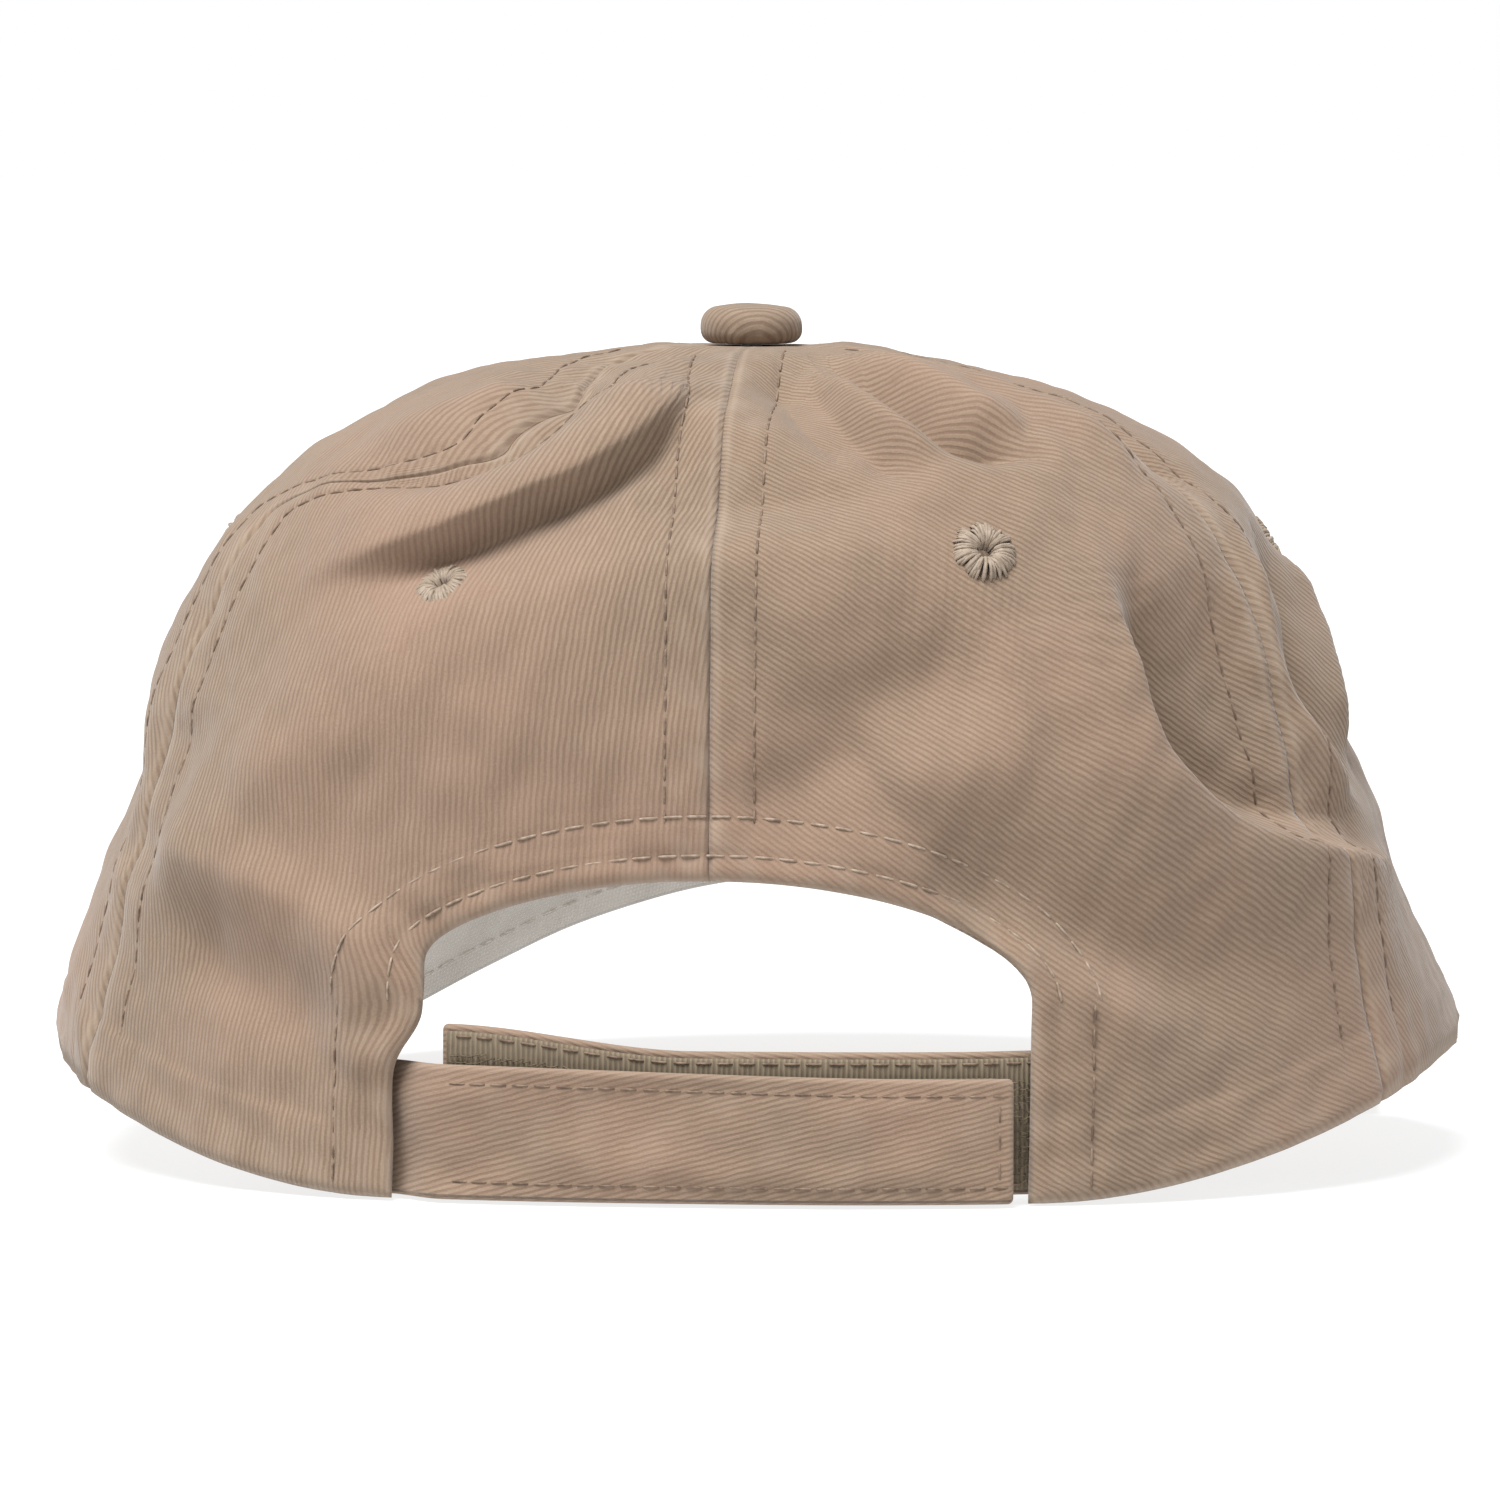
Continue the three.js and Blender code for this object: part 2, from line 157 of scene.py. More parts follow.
# ---------------------------------------------------------------- the crown's smooth form

def visor_height(x, y):
    """Height of the seam line of the visor: a wave, high in the middle and low at both ends."""
    return -5.5 + 40.5 * np.cos(np.pi * x / 250) ** 2 + 0.02 * (y + 145)


def rim_radius(angle):
    power = 2.3 + 0.2 * np.cos(angle)
    depth = (BACK_DEPTH + FRONT_DEPTH) / 2 + (BACK_DEPTH - FRONT_DEPTH) / 2 * np.cos(angle)
    across = np.abs(np.sin(angle) / HALF_WIDTH) ** power
    along = np.abs(np.cos(angle) / depth) ** power
    return (across + along) ** (-1 / power)


def rim_height(angle):
    turn = np.abs(np.degrees(np.arctan2(np.sin(angle), np.cos(angle))))
    r = rim_radius(angle)
    front = ease(turn, 95, 122)
    side = SIDE_RIM_HEIGHT * ease(turn, 32, 85)
    return side * (1 - front) + visor_height(r * np.sin(angle), r * np.cos(angle)) * front


def skin(angle, rise):
    """Point of the smooth crown: angle in radians, rise from 0 at the rim to 1 at the top."""
    lift = np.pi / 2 * np.clip(rise, 0, 1)
    power = 2 / (2.7 + 0.3 * np.cos(angle))
    up = np.sin(lift) ** power
    inward = np.clip(np.cos(lift), 0, None) ** power
    flare = 0.03 + 0.05 * np.sin(angle) ** 2
    r = rim_radius(angle) * ((1 - flare) * inward + flare * np.exp(-4 * up) * (1 - up))
    base = rim_height(angle)
    x, y, z = r * np.sin(angle), r * np.cos(angle) + LEAN * up, base + (CROWN_HEIGHT - base) * up
    return np.stack([x, y, z], axis=-1)


def outward(angle, rise):
    """Unit normal of the smooth crown."""
    low = np.clip(rise, 0.002, 0.985)
    rising = skin(angle, low + 0.004) - skin(angle, low - 0.002)
    turning = skin(angle + 0.004, low) - skin(angle - 0.004, low)
    return unit(np.cross(rising, turning))


def rise_at(angle, height):
    """The rise at which the smooth crown reaches this height above the floor."""
    base = rim_height(angle)
    up = np.clip((height - base) / (CROWN_HEIGHT - base), 0, 1)
    return np.arcsin(up ** ((2.7 + 0.3 * np.cos(angle)) / 2)) / (np.pi / 2)


def rise_near_top(angle, r):
    """The rise at which the smooth crown comes this close to its axis."""
    inward = r / rim_radius(angle)
    return np.arccos(inward ** ((2.7 + 0.3 * np.cos(angle)) / 2)) / (np.pi / 2)


def angle_at(x, height):
    """Angle on the back of the crown of the point with this x and height."""
    angle = np.arctan2(x, BACK_DEPTH)
    for _ in range(12):
        place = skin(angle, rise_at(angle, height))
        angle = angle + (x - place[..., 0]) / place[..., 1]
    return angle


def from_axis(place):
    """Distance of a crown point from the crown's leaning axis."""
    return np.hypot(place[..., 0], place[..., 1] - LEAN * place[..., 2] / CROWN_HEIGHT)


def seam_slump(rise):
    """Degrees that the slumped crown has carried the left side seam towards the middle of the back."""
    return 30 * ease(rise, 0.49, 0.66) * (1 - 0.75 * ease(rise, 0.78, 0.98))


def seam_angle(degrees, rise):
    """Angle of a seam at this rise, in radians."""
    return np.radians(degrees - (seam_slump(rise) if degrees == SEAMS[1] else 0) + 0 * rise)


def carried(angle, rise):
    """Angles of a grid after the slump has carried the left side seam and the cloth beside it."""
    degrees = np.degrees(angle)
    share = np.where(degrees < SEAMS[1], np.clip(degrees / SEAMS[1], 0, 1) ** 1.5,
                     np.clip((SEAMS[2] - degrees) / (SEAMS[2] - SEAMS[1]), 0, 1))
    return angle - np.radians(seam_slump(rise)) * np.where((degrees > 0) & (degrees < SEAMS[2]), share, 0)


def seam_offset(angle, rise, place):
    """Distance across the cloth to the nearest of the six seams."""
    seams = np.degrees(np.stack([seam_angle(d, rise) for d in SEAMS], axis=-1))
    turns = np.abs((np.degrees(angle)[..., None] - seams + 180) % 360 - 180).min(axis=-1)
    return np.radians(turns) * from_axis(place)


# ---------------------------------------------------------------- the folds of the soft crown

def smooth_path(stops, count=90):
    """Catmull-Rom curve through (degrees, rise) stops, laid on the smooth crown."""
    stops = np.array([stops[0], *stops, stops[-1]], dtype=float)
    t = np.linspace(0, len(stops) - 3 - 1e-6, count)
    i = t.astype(int)
    f = (t - i)[:, None]
    a, b, c, d = stops[i], stops[i + 1], stops[i + 2], stops[i + 3]
    square, cube = 2 * a - 5 * b + 4 * c - d, 3 * b - a - 3 * c + d
    flat = 0.5 * (2 * b + (c - a) * f + square * f ** 2 + cube * f ** 3)
    return skin(np.radians(flat[:, 0]), flat[:, 1])


# Each fold: stops as (degrees, rise); how far it stands out; its widths on the left and right hand of
# someone who walks along it on the outside of the cap; how sharp it is; how far it slides to that left hand.
FOLDS = [
    # deep hollow below the lip that runs down from the button over the left back panel
    ([(9, 0.75), (11, 0.67), (15, 0.61), (21, 0.56), (29, 0.505), (38, 0.45), (47, 0.41)],
     -3.8, 5, 3, 1.6, 0),
    # the puffed lip that hangs over it
    ([(10.5, 0.82), (11.5, 0.745), (14.5, 0.675), (20, 0.615), (27, 0.568), (35, 0.518), (44, 0.465),
      (53, 0.42)], 4.6, 2.8, 9, 1.8, 3.2),
    # bend across the middle of the back where the top turns down, and the crease above it
    ([(-40, 0.42), (-30, 0.44), (-14, 0.45), (2, 0.44), (14, 0.42), (26, 0.385), (38, 0.345), (48, 0.32)],
     3.2, 15, 7, 2, 0),
    ([(-24, 0.56), (-10, 0.555), (2, 0.545), (12, 0.535)], -2.8, 6, 7, 1.6, 0),
    # gathers that run down from the button, left side
    ([(50, 0.93), (36, 0.82), (32.5, 0.74), (33, 0.66), (39, 0.60), (49, 0.575), (60, 0.56)],
     -3.6, 3.0, 5, 1.4, 0),
    ([(20, 0.93), (19, 0.82), (20, 0.74), (24, 0.67)], 1.6, 4, 5, 1.8, 0),
    ([(44, 0.80), (50, 0.70), (60, 0.62)], 1.8, 6, 6, 2, 0),
    # gathers that run down from the button, right side
    ([(-28, 0.93), (-32, 0.83), (-34, 0.73), (-37, 0.665), (-43, 0.63), (-50, 0.615)], -4.8, 4, 2.6, 1.4, 0),
    ([(-40, 0.92), (-42, 0.80), (-44, 0.71), (-49, 0.66)], 3.0, 4, 4, 1.8, 0),
    ([(-22, 0.92), (-21, 0.81), (-22, 0.71), (-25, 0.62), (-30, 0.57)], -3.6, 4, 4, 1.5, 0),
    ([(-25, 0.89), (-26, 0.78), (-28, 0.69), (-33, 0.61)], 2.8, 3, 3, 1.8, 0),
    ([(-13, 0.90), (-13, 0.80), (-15, 0.70), (-20, 0.61)], -2.4, 4, 3, 1.6, 0),
    ([(-8, 0.88), (-7, 0.78), (-7, 0.68)], -1.4, 4, 4, 1.8, 0),
    # the open slit beside the right seam
    ([(-62, 0.90), (-63, 0.80), (-64, 0.70), (-67, 0.61), (-72, 0.54)], -4.0, 4, 4, 1.4, 0),
    ([(-56, 0.88), (-57, 0.76), (-59, 0.66), (-62, 0.56)], 2.4, 5, 5, 2, 0),
    # long soft hollows across the right half of the back
    ([(-2, 0.17), (-8, 0.215), (-16, 0.265), (-25, 0.315), (-34, 0.345)], -3.6, 9, 8, 2, 0),
    ([(-18, 0.225), (-26, 0.26), (-36, 0.28)], 2.6, 9, 9, 2, 0),
    ([(-22, 0.175), (-29, 0.145), (-37, 0.11), (-47, 0.085), (-58, 0.08)], -2.8, 7, 6, 2, 0),
    ([(-28, 0.115), (-36, 0.085), (-46, 0.055)], 1.8, 5, 5, 2, 0),
    # sharp curved lip round the dent on the right, and the shelf below it
    ([(-46, 0.48), (-45, 0.40), (-44.5, 0.33), (-45, 0.265), (-48.5, 0.21), (-55, 0.162), (-64, 0.13),
      (-75, 0.11), (-86, 0.105)], 5.4, 2.6, 11, 1.8, 2.0),
    ([(-51, 0.47), (-50, 0.39), (-49.5, 0.325), (-51, 0.27), (-54.5, 0.225), (-60, 0.19), (-68, 0.165),
      (-78, 0.15)], -4.4, 6, 2.8, 1.6, 0),
    # pleats down the right side
    ([(-72, 0.54), (-69, 0.43), (-67, 0.34), (-68, 0.26), (-72, 0.20), (-76, 0.16)], 3.0, 3.2, 4, 1.6, 0),
    ([(-80, 0.50), (-78, 0.40), (-75, 0.31), (-75, 0.23), (-79, 0.17)], -3.2, 4, 4, 1.5, 0),
    ([(-88, 0.46), (-86, 0.36), (-82, 0.27), (-81, 0.20)], 3.0, 4, 4, 1.7, 0),
    # soft ridges and tucks on the lower left
    ([(30, 0.32), (42, 0.265), (52, 0.19), (61, 0.125), (70, 0.07)], 2.4, 7, 9, 2, 0),
    ([(62, 0.145), (54, 0.145), (44, 0.135), (36, 0.115), (31, 0.095)], 2.6, 5, 7, 1.7, 0),
    ([(58, 0.085), (47, 0.075), (37, 0.055)], -2.4, 8, 6, 2, 0),
    ([(92, 0.26), (80, 0.20), (68, 0.16)], -2.4, 8, 8, 2, 0),
    ([(64, 0.26), (62, 0.18), (66, 0.10)], -1.8, 6, 6, 2, 0),
    # relaxed folds on the front, which has no stiffening
    ([(150, 0.80), (148, 0.62), (140, 0.45), (130, 0.33)], -2.6, 9, 9, 2, 0),
    ([(208, 0.78), (214, 0.60), (222, 0.42)], -2.4, 9, 9, 2, 0),
    ([(168, 0.52), (182, 0.50), (197, 0.53)], 1.8, 12, 12, 2, 0),
]

# Each dent: centre as (degrees, rise), radius across and depth.
DENTS = [
    ((-57, 0.285), 17, 7.0),
    ((-96, 0.30), 26, 3.0),
    ((12, 0.30), 24, 1.4),
    ((36, 0.32), 22, -1.6),
    ((150, 0.40), 34, 2.0),
    ((205, 0.50), 30, 2.4),
    ((112, 0.35), 26, 2.4),
    ((240, 0.32), 26, 2.0),
]

# Each pull: the place on the smooth crown, as x and height, its radius, and which way the cloth goes.
PULLS = [
    ((43, 27), 6.5, (-4.4, 0.8, -0.5)),
    ((49, 31), 6.0, (0.0, 2.2, 0.0)),
    ((47, 20), 5.0, (0.0, 1.4, 0.0)),
]

FOLD_PATHS = [smooth_path(fold[0]) for fold in FOLDS]


def fold_shift(place, normal):
    """Vector that moves each point of the smooth crown onto the folded one."""
    shift = np.zeros_like(place)
    flat, normals, moved = place.reshape(-1, 3), normal.reshape(-1, 3), shift.reshape(-1, 3)
    for (stops, lift, left, right, sharp, slide), path in zip(FOLDS, FOLD_PATHS):
        middle = path.mean(axis=0)
        reach = np.linalg.norm(path - middle, axis=1).max() + 3 * max(left, right)
        near = np.nonzero(np.linalg.norm(flat - middle, axis=1) < reach)[0]
        if near.size == 0:
            continue
        along = unit(np.gradient(path, axis=0))
        gap = flat[near][:, None, :] - path[None, :, :]
        nearest = np.argmin((gap ** 2).sum(axis=2), axis=1)
        tangent = along[nearest]
        side = unit(np.cross(normals[near], tangent))
        delta = gap[np.arange(near.size), nearest]
        across = (delta * side).sum(axis=1)
        past = (delta * tangent).sum(axis=1)
        t = nearest / (len(path) - 1)
        fade = ease(t, 0, 0.3) * ease(1 - t, 0, 0.3) * bump(past, 6)
        amount = bump(across, np.where(across > 0, left, right), sharp) * fade
        moved[near] += normals[near] * (lift * amount)[:, None] + side * (slide * amount)[:, None]
    for (degrees, rise), radius, depth in DENTS:
        centre = skin(np.radians(degrees), np.array(rise))
        amount = bump(np.linalg.norm(flat - centre, axis=1), radius, 2.4)
        moved -= normals * (depth * amount)[:, None]
    for (x, height), radius, pull in PULLS:
        angle = angle_at(x, height)
        centre = skin(angle, rise_at(angle, height))
        moved += bump(np.linalg.norm(flat - centre, axis=1), radius, 2.4)[:, None] * np.array(pull)
    return shift


def cloth(angle, rise, fine=1.0):
    """The folded crown: place and smooth normal for arrays of angle and rise."""
    place = skin(angle, rise)
    normal = outward(angle, rise)
    across = seam_offset(angle, rise, place)
    top = ease(np.hypot(place[..., 0], place[..., 1] - LEAN), 5, 14)
    out = (-0.5 * bump(across, 0.55) + 0.12 * bump(across - 3.2, 2.6, 4)) * top * fine
    out -= 0.16 * bump(across - SEAM_ROW, 0.7) * top * fine
    out += 0.13 * ripple(place, 8, 3) * bump(across, 8) * top * fine
    out += 0.5 * ripple(place, 46, 5) * top
    out += 0.22 * ripple(place, 19, 7) * top
    out += 0.10 * ripple(place, 7, 11) * top * fine
    low = 1 - ease(rise, 0.0, 0.14)
    out += 2.2 * low * np.sin(angle) ** 2 * (np.cos(angle) > -0.4)
    shift = fold_shift(place, normal) * (top[..., None] * 0.9 + 0.1)
    return place + shift + normal * out[..., None], normal


def inside(angle, rise, depth):
    """A point this deep below the folded crown, for the layers sewn inside it."""
    step_up, step_round = 0.018, 0.02
    low = np.clip(rise, step_up, 0.97)
    rising = cloth(angle, low + step_up, 0)[0] - cloth(angle, low - step_up, 0)[0]
    turning = cloth(angle + step_round, low, 0)[0] - cloth(angle - step_round, low, 0)[0]
    normal = unit(unit(np.cross(rising, turning)) + 0.6 * outward(angle, rise))
    return cloth(angle, rise, 0)[0] - normal * depth, normal


# ---------------------------------------------------------------- making meshes

def select_only(piece):
    bpy.ops.object.select_all(action="DESELECT")
    piece.select_set(True)
    bpy.context.view_layer.objects.active = piece


def new_piece(name, vertices, faces):
    mesh = bpy.data.meshes.new(name)
    mesh.from_pydata((np.asarray(vertices) * MM).tolist(), [], faces)
    piece = bpy.data.objects.new(name, mesh)
    bpy.context.collection.objects.link(piece)
    mesh.shade_smooth()
    return piece


def apply(piece, kind, **settings):
    select_only(piece)
    modifier = piece.modifiers.new(kind, kind)
    for key, value in settings.items():
        setattr(modifier, key, value)
    bpy.ops.object.modifier_apply(modifier=modifier.name)


def grid_faces(index, around=False):
    """Quads between neighbours of an index grid, skipping missing corners, which are -1."""
    if around:
        index = np.concatenate([index, index[:, :1]], axis=1)
    corners = [index[:-1, :-1], index[:-1, 1:], index[1:, 1:], index[1:, :-1]]
    quads = np.stack(corners, axis=-1).reshape(-1, 4)
    return quads[(quads >= 0).all(axis=1)]


def paint(piece, uv, wear=None):
    """Gives a mesh its cloth coordinates, in metres along the weave, and how rubbed each point is."""
    layer = piece.data.uv_layers.new(name="cloth")
    corners = np.empty(len(piece.data.loops), dtype=np.int32)
    piece.data.loops.foreach_get("vertex_index", corners)
    layer.data.foreach_set("uv", (uv[corners] * MM).astype(np.float32).ravel())
    worn = piece.data.attributes.new("wear", "FLOAT", "POINT")
    worn.data.foreach_set("value", (np.zeros(len(uv)) if wear is None else wear).astype(np.float32))


def sheet_piece(name, points, uv, thickness, wear=None, keep=None, flip=False):
    """Cloth of one thickness, laid inwards from a grid of points; wear is a grid from 0 to 1."""
    keep = np.ones(points.shape[:2], bool) if keep is None else keep
    index = np.where(keep, np.cumsum(keep.ravel()).reshape(keep.shape) - 1, -1)
    quads = grid_faces(index)
    piece = new_piece(name, points[keep], (quads[:, ::-1] if flip else quads).tolist())
    paint(piece, uv[keep], None if wear is None else np.clip(wear, 0, 1)[keep])
    apply(piece, "SOLIDIFY", thickness=thickness * MM, offset=-1, use_even_offset=False)
    return piece


def tube_piece(name, rings, uv, wear=None):
    """Closed solid from rings of points, with a face across each end."""
    count, around = rings.shape[:2]
    index = np.arange(count * around).reshape(count, around)
    faces = grid_faces(index, around=True).tolist() + [index[0][::-1].tolist(), index[-1].tolist()]
    piece = new_piece(name, rings.reshape(-1, 3), faces)
    paint(piece, uv.reshape(-1, 2), None if wear is None else wear.ravel())
    select_only(piece)
    bpy.ops.object.mode_set(mode="EDIT")
    bpy.ops.mesh.select_all(action="SELECT")
    bpy.ops.mesh.normals_make_consistent(inside=False)
    bpy.ops.object.mode_set(mode="OBJECT")
    return piece


def turned_uv(across, up, lean):
    """Cloth coordinates whose ribs lean this many degrees anticlockwise from upright."""
    c, s = math.cos(math.radians(lean)), math.sin(math.radians(lean))
    return np.stack([across * c + up * s, up * c - across * s], axis=-1)


# ---------------------------------------------------------------- materials

def linear(code):
    """sRGB hex to linear RGBA."""
    parts = [int(code[i:i + 2], 16) / 255 for i in (1, 3, 5)]
    return (*[c / 12.92 if c <= 0.04045 else ((c + 0.055) / 1.055) ** 2.4 for c in parts], 1)


def node(tree, kind, settings=None, **links):
    """Adds a node; settings are properties, and links are input values or (node, output) pairs.
    A link is named for its input, or i and the input's number."""
    made = tree.nodes.new("ShaderNode" + kind)
    for key, value in (settings or {}).items():
        setattr(made, key, value)
    for key, value in links.items():
        numbered = key[0] == "i" and key[1:].isdigit()
        socket = made.inputs[int(key[1:]) if numbered else key.replace("_", " ")]
        if isinstance(value, tuple) and len(value) == 2 and isinstance(value[0], bpy.types.Node):
            tree.links.new(value[0].outputs[value[1]], socket)
        else:
            socket.default_value = value
    return made


def new_material(name, roughness, sheen=0.0):
    material = bpy.data.materials.new(name)
    material.use_nodes = True
    shader = material.node_tree.nodes["Principled BSDF"]
    shader.inputs["Roughness"].default_value = roughness
    shader.inputs["Sheen Weight"].default_value = sheen
    shader.inputs["Sheen Roughness"].default_value = 0.5
    shader.inputs["Specular IOR Level"].default_value = 0.25 if sheen else 0.5
    return material, material.node_tree, shader


def colour_mix(tree, amount, first, second):
    return node(tree, "Mix", {"data_type": "RGBA"}, i0=amount, i6=first, i7=second)


def colour_from(tree, shader, amount, dark, light):
    """Surface colour between two hex colours."""
    colour = colour_mix(tree, amount, linear(dark), linear(light))
    tree.links.new(colour.outputs[2], shader.inputs["Base Color"])


def relief_from(tree, shader, height, strength, depth):
    """Relief too fine for the mesh, this many millimetres deep."""
    raised = node(tree, "Bump", Strength=strength, Distance=depth * MM, Height=height)
    tree.links.new(raised.outputs[0], shader.inputs["Normal"])


def weave_place(tree):
    """The piece's own cloth coordinates, in millimetres along the weave."""
    uv = node(tree, "UVMap", {"uv_map": "cloth"})
    return node(tree, "Mapping", Vector=(uv, 0), Scale=(1000, 1000, 1000))


# scale at which a band texture repeats once in each unit of its coordinates
BAND_PER_UNIT = 0.31416
TWILL_RIB = 0.79
TWILL_RELIEF = 0.08


def bands(tree, scaled, direction, spacing, **more):
    """Soft stripes this many millimetres apart."""
    return node(tree, "TexWave", {"bands_direction": direction}, Vector=(scaled, 0),
                Scale=BAND_PER_UNIT / spacing, **more)


def twill(name, rib, shaded_groove, worn, washed):
    """Brushed cotton twill, woven with a fine raised diagonal rib and garment washed: matt, slightly furry,
    clouded where the dye has washed out, paler where seams and edges have rubbed, with painted shade in the
    grooves."""
    material, tree, shader = new_material(name, 0.93, 0.18)
    scaled = weave_place(tree)
    place = node(tree, "TexCoord")
    ribs = bands(tree, scaled, "X", TWILL_RIB, Distortion=2.2, Detail=2.5, Detail_Scale=0.6,
                 Detail_Roughness=0.65)
    along = node(tree, "Mapping", Vector=(scaled, 0), Scale=(1.0, 0.22, 1.0))
    slub = node(tree, "TexNoise", Vector=(along, 0), Scale=1.3, Detail=3.0, Roughness=0.6)
    yarn = node(tree, "TexNoise", Vector=(scaled, 0), Scale=3.2, Detail=2.0, Roughness=0.6)
    cloud = node(tree, "TexNoise", Vector=(place, 3), Scale=34.0, Detail=5.0, Roughness=0.6)
    blush = node(tree, "TexNoise", Vector=(place, 3), Scale=17.0, Detail=3.0, Roughness=0.5)
    wear = node(tree, "Attribute", {"attribute_name": "wear"})
    crest = node(tree, "MapRange", Value=(ribs, 1), From_Min=0.1, From_Max=0.7, To_Min=0.0, To_Max=1.0)
    broken = node(tree, "Math", {"operation": "MULTIPLY"}, i0=(crest, 0), i1=(slub, 0))
    shown = node(tree, "MapRange", Value=(broken, 0), From_Min=0.0, From_Max=0.6, To_Min=0.0, To_Max=1.0)
    # painted shade: the grooves between the ribs take the darker colour, broken up by the slubs of the yarn
    ribbed = colour_mix(tree, (shown, 0), linear(shaded_groove), linear(rib))
    tinted = node(tree, "MapRange", Value=(blush, 0), From_Min=0.42, From_Max=0.68, To_Min=0.0, To_Max=0.5)
    warmed = colour_mix(tree, (tinted, 0), (ribbed, 2), linear(washed))
    patchy = node(tree, "MapRange", Value=(cloud, 0), From_Min=0.3, From_Max=0.7, To_Min=0.93, To_Max=1.06)
    speckled = node(tree, "MapRange", Value=(yarn, 0), From_Min=0.3, From_Max=0.7, To_Min=0.93, To_Max=1.07)
    tone = node(tree, "Math", {"operation": "MULTIPLY"}, i0=(patchy, 0), i1=(speckled, 0))
    toned = node(tree, "VectorMath", {"operation": "SCALE"}, i0=(warmed, 2), Scale=(tone, 0))
    faded = colour_mix(tree, (wear, 2), (toned, 0), linear(worn))
    tree.links.new(faded.outputs[2], shader.inputs["Base Color"])
    height = node(tree, "Math", {"operation": "MULTIPLY_ADD"}, i0=(yarn, 0), i1=0.5, i2=(broken, 0))
    relief_from(tree, shader, (height, 0), 1.0, TWILL_RELIEF)
    return material


def plain_cloth(name, light, dark, spacing, relief):
    """Plain-woven cotton: a fine square grid of over and under yarns, dull and even."""
    material, tree, shader = new_material(name, 0.9, 0.15)
    scaled = weave_place(tree)
    warp = bands(tree, scaled, "X", spacing, Distortion=0.6)
    weft = bands(tree, scaled, "Y", spacing, Distortion=0.6)
    both = node(tree, "Math", {"operation": "MULTIPLY"}, i0=(warp, 1), i1=(weft, 1))
    cloud = node(tree, "TexNoise", Vector=(scaled, 0), Scale=0.12, Detail=5.0)
    mixed = node(tree, "Math", {"operation": "MULTIPLY_ADD"}, i0=(both, 0), i1=0.6, i2=(cloud, 0))
    spread = node(tree, "MapRange", Value=(mixed, 0), From_Min=0.35, From_Max=1.0)
    colour_from(tree, shader, (spread, 0), dark, light)
    relief_from(tree, shader, (both, 0), 0.8, relief)
    return material


def ribbed_tape(name, light, dark, spacing):
    """Narrow woven nylon tape: fine ribs across it, a faint hard shine, and painted shade that darkens the
    grooves.
    """
    material, tree, shader = new_material(name, 0.75, 0.1)
    scaled = weave_place(tree)
    ribs = bands(tree, scaled, "X", spacing, Distortion=0.8)
    cloud = node(tree, "TexNoise", Vector=(scaled, 0), Scale=0.5, Detail=4.0)
    mixed = node(tree, "Math", {"operation": "MULTIPLY_ADD"}, i0=(ribs, 1), i1=0.7, i2=(cloud, 0))
    # painted shade: the darker colour falls in the grooves between the ribs, clouded by noise
    spread = node(tree, "MapRange", Value=(mixed, 0), From_Min=0.4, From_Max=1.1)
    colour_from(tree, shader, (spread, 0), dark, light)
    relief_from(tree, shader, (ribs, 1), 0.9, 0.15)
    return material


def thread_finish(name, light, dark, roughness=0.55):
    """Twisted polyester-cotton thread: a faint shine with dark twist lines."""
    material, tree, shader = new_material(name, roughness, 0.1)
    place = node(tree, "TexCoord")
    grain = node(tree, "TexNoise", Vector=(place, 3), Scale=900.0, Detail=2.0)
    spread = node(tree, "MapRange", Value=(grain, 0), From_Min=0.35, From_Max=0.65)
    colour_from(tree, shader, (spread, 0), dark, light)
    relief_from(tree, shader, (grain, 0), 0.5, 0.1)
    return material


def pressed_metal(name, colour, roughness):
    """Nickel-plated pressed steel: dull mirror with faint smears."""
    material, tree, shader = new_material(name, roughness)
    shader.inputs["Metallic"].default_value = 1
    place = node(tree, "TexCoord")
    smear = node(tree, "TexNoise", Vector=(place, 3), Scale=400.0, Detail=4.0)
    rough = node(tree, "MapRange", Value=(smear, 0), To_Min=roughness - 0.08, To_Max=roughness + 0.12)
    tree.links.new(rough.outputs[0], shader.inputs["Roughness"])
    colour_from(tree, shader, (smear, 0), colour, "#8f8f8c")
    return material


def moulded_plastic(name, light, dark, roughness):
    """Pressed polyethylene or nylon: waxy, nearly smooth, with faint flow clouds."""
    material, tree, shader = new_material(name, roughness)
    place = node(tree, "TexCoord")
    cloud = node(tree, "TexNoise", Vector=(place, 3), Scale=120.0, Detail=5.0)
    colour_from(tree, shader, (cloud, 0), dark, light)
    relief_from(tree, shader, (cloud, 0), 0.2, 0.1)
    return material


# the twill's second colour is painted shade for the grooves between its ribs
TWILL = twill("brushed cotton twill, woven and garment washed", "#8c7a68", "#756252", "#9b8b7b", "#8f7362")
TAPE_COTTON = plain_cloth("plain-woven cotton tape, piece dyed", "#877563", "#6a5a4b", 0.6, 0.1)
BAND_COTTON = plain_cloth("plain-woven cotton sweatband, undyed", "#cfcbc5", "#b7b2ab", 0.55, 0.12)
# the darker colour of each ribbed tape is painted shade in the grooves between its ribs
LOOP_TAPE = ribbed_tape("woven nylon loop tape, dyed", "#7d705d", "#655a4b", 0.7)
LOOP_PILE = thread_finish("nylon loop pile, napped", "#75674f", "#55493a", 0.7)
HOOK_TAPE = ribbed_tape("woven nylon hook tape, heat set", "#726753", "#564c3d", 0.8)
HOOK_NYLON = moulded_plastic("nylon monofilament hooks, cut", "#837962", "#665c4b", 0.4)
SEAM_THREAD = thread_finish("core-spun sewing thread, dyed to match", "#84705f", "#5d4a3c")
PALE_THREAD = thread_finish("core-spun sewing thread, paler at the opening", "#a08f7f", "#7c6a5a")
BAND_THREAD = thread_finish("core-spun sewing thread, undyed", "#c9c4bc", "#aaa49b")
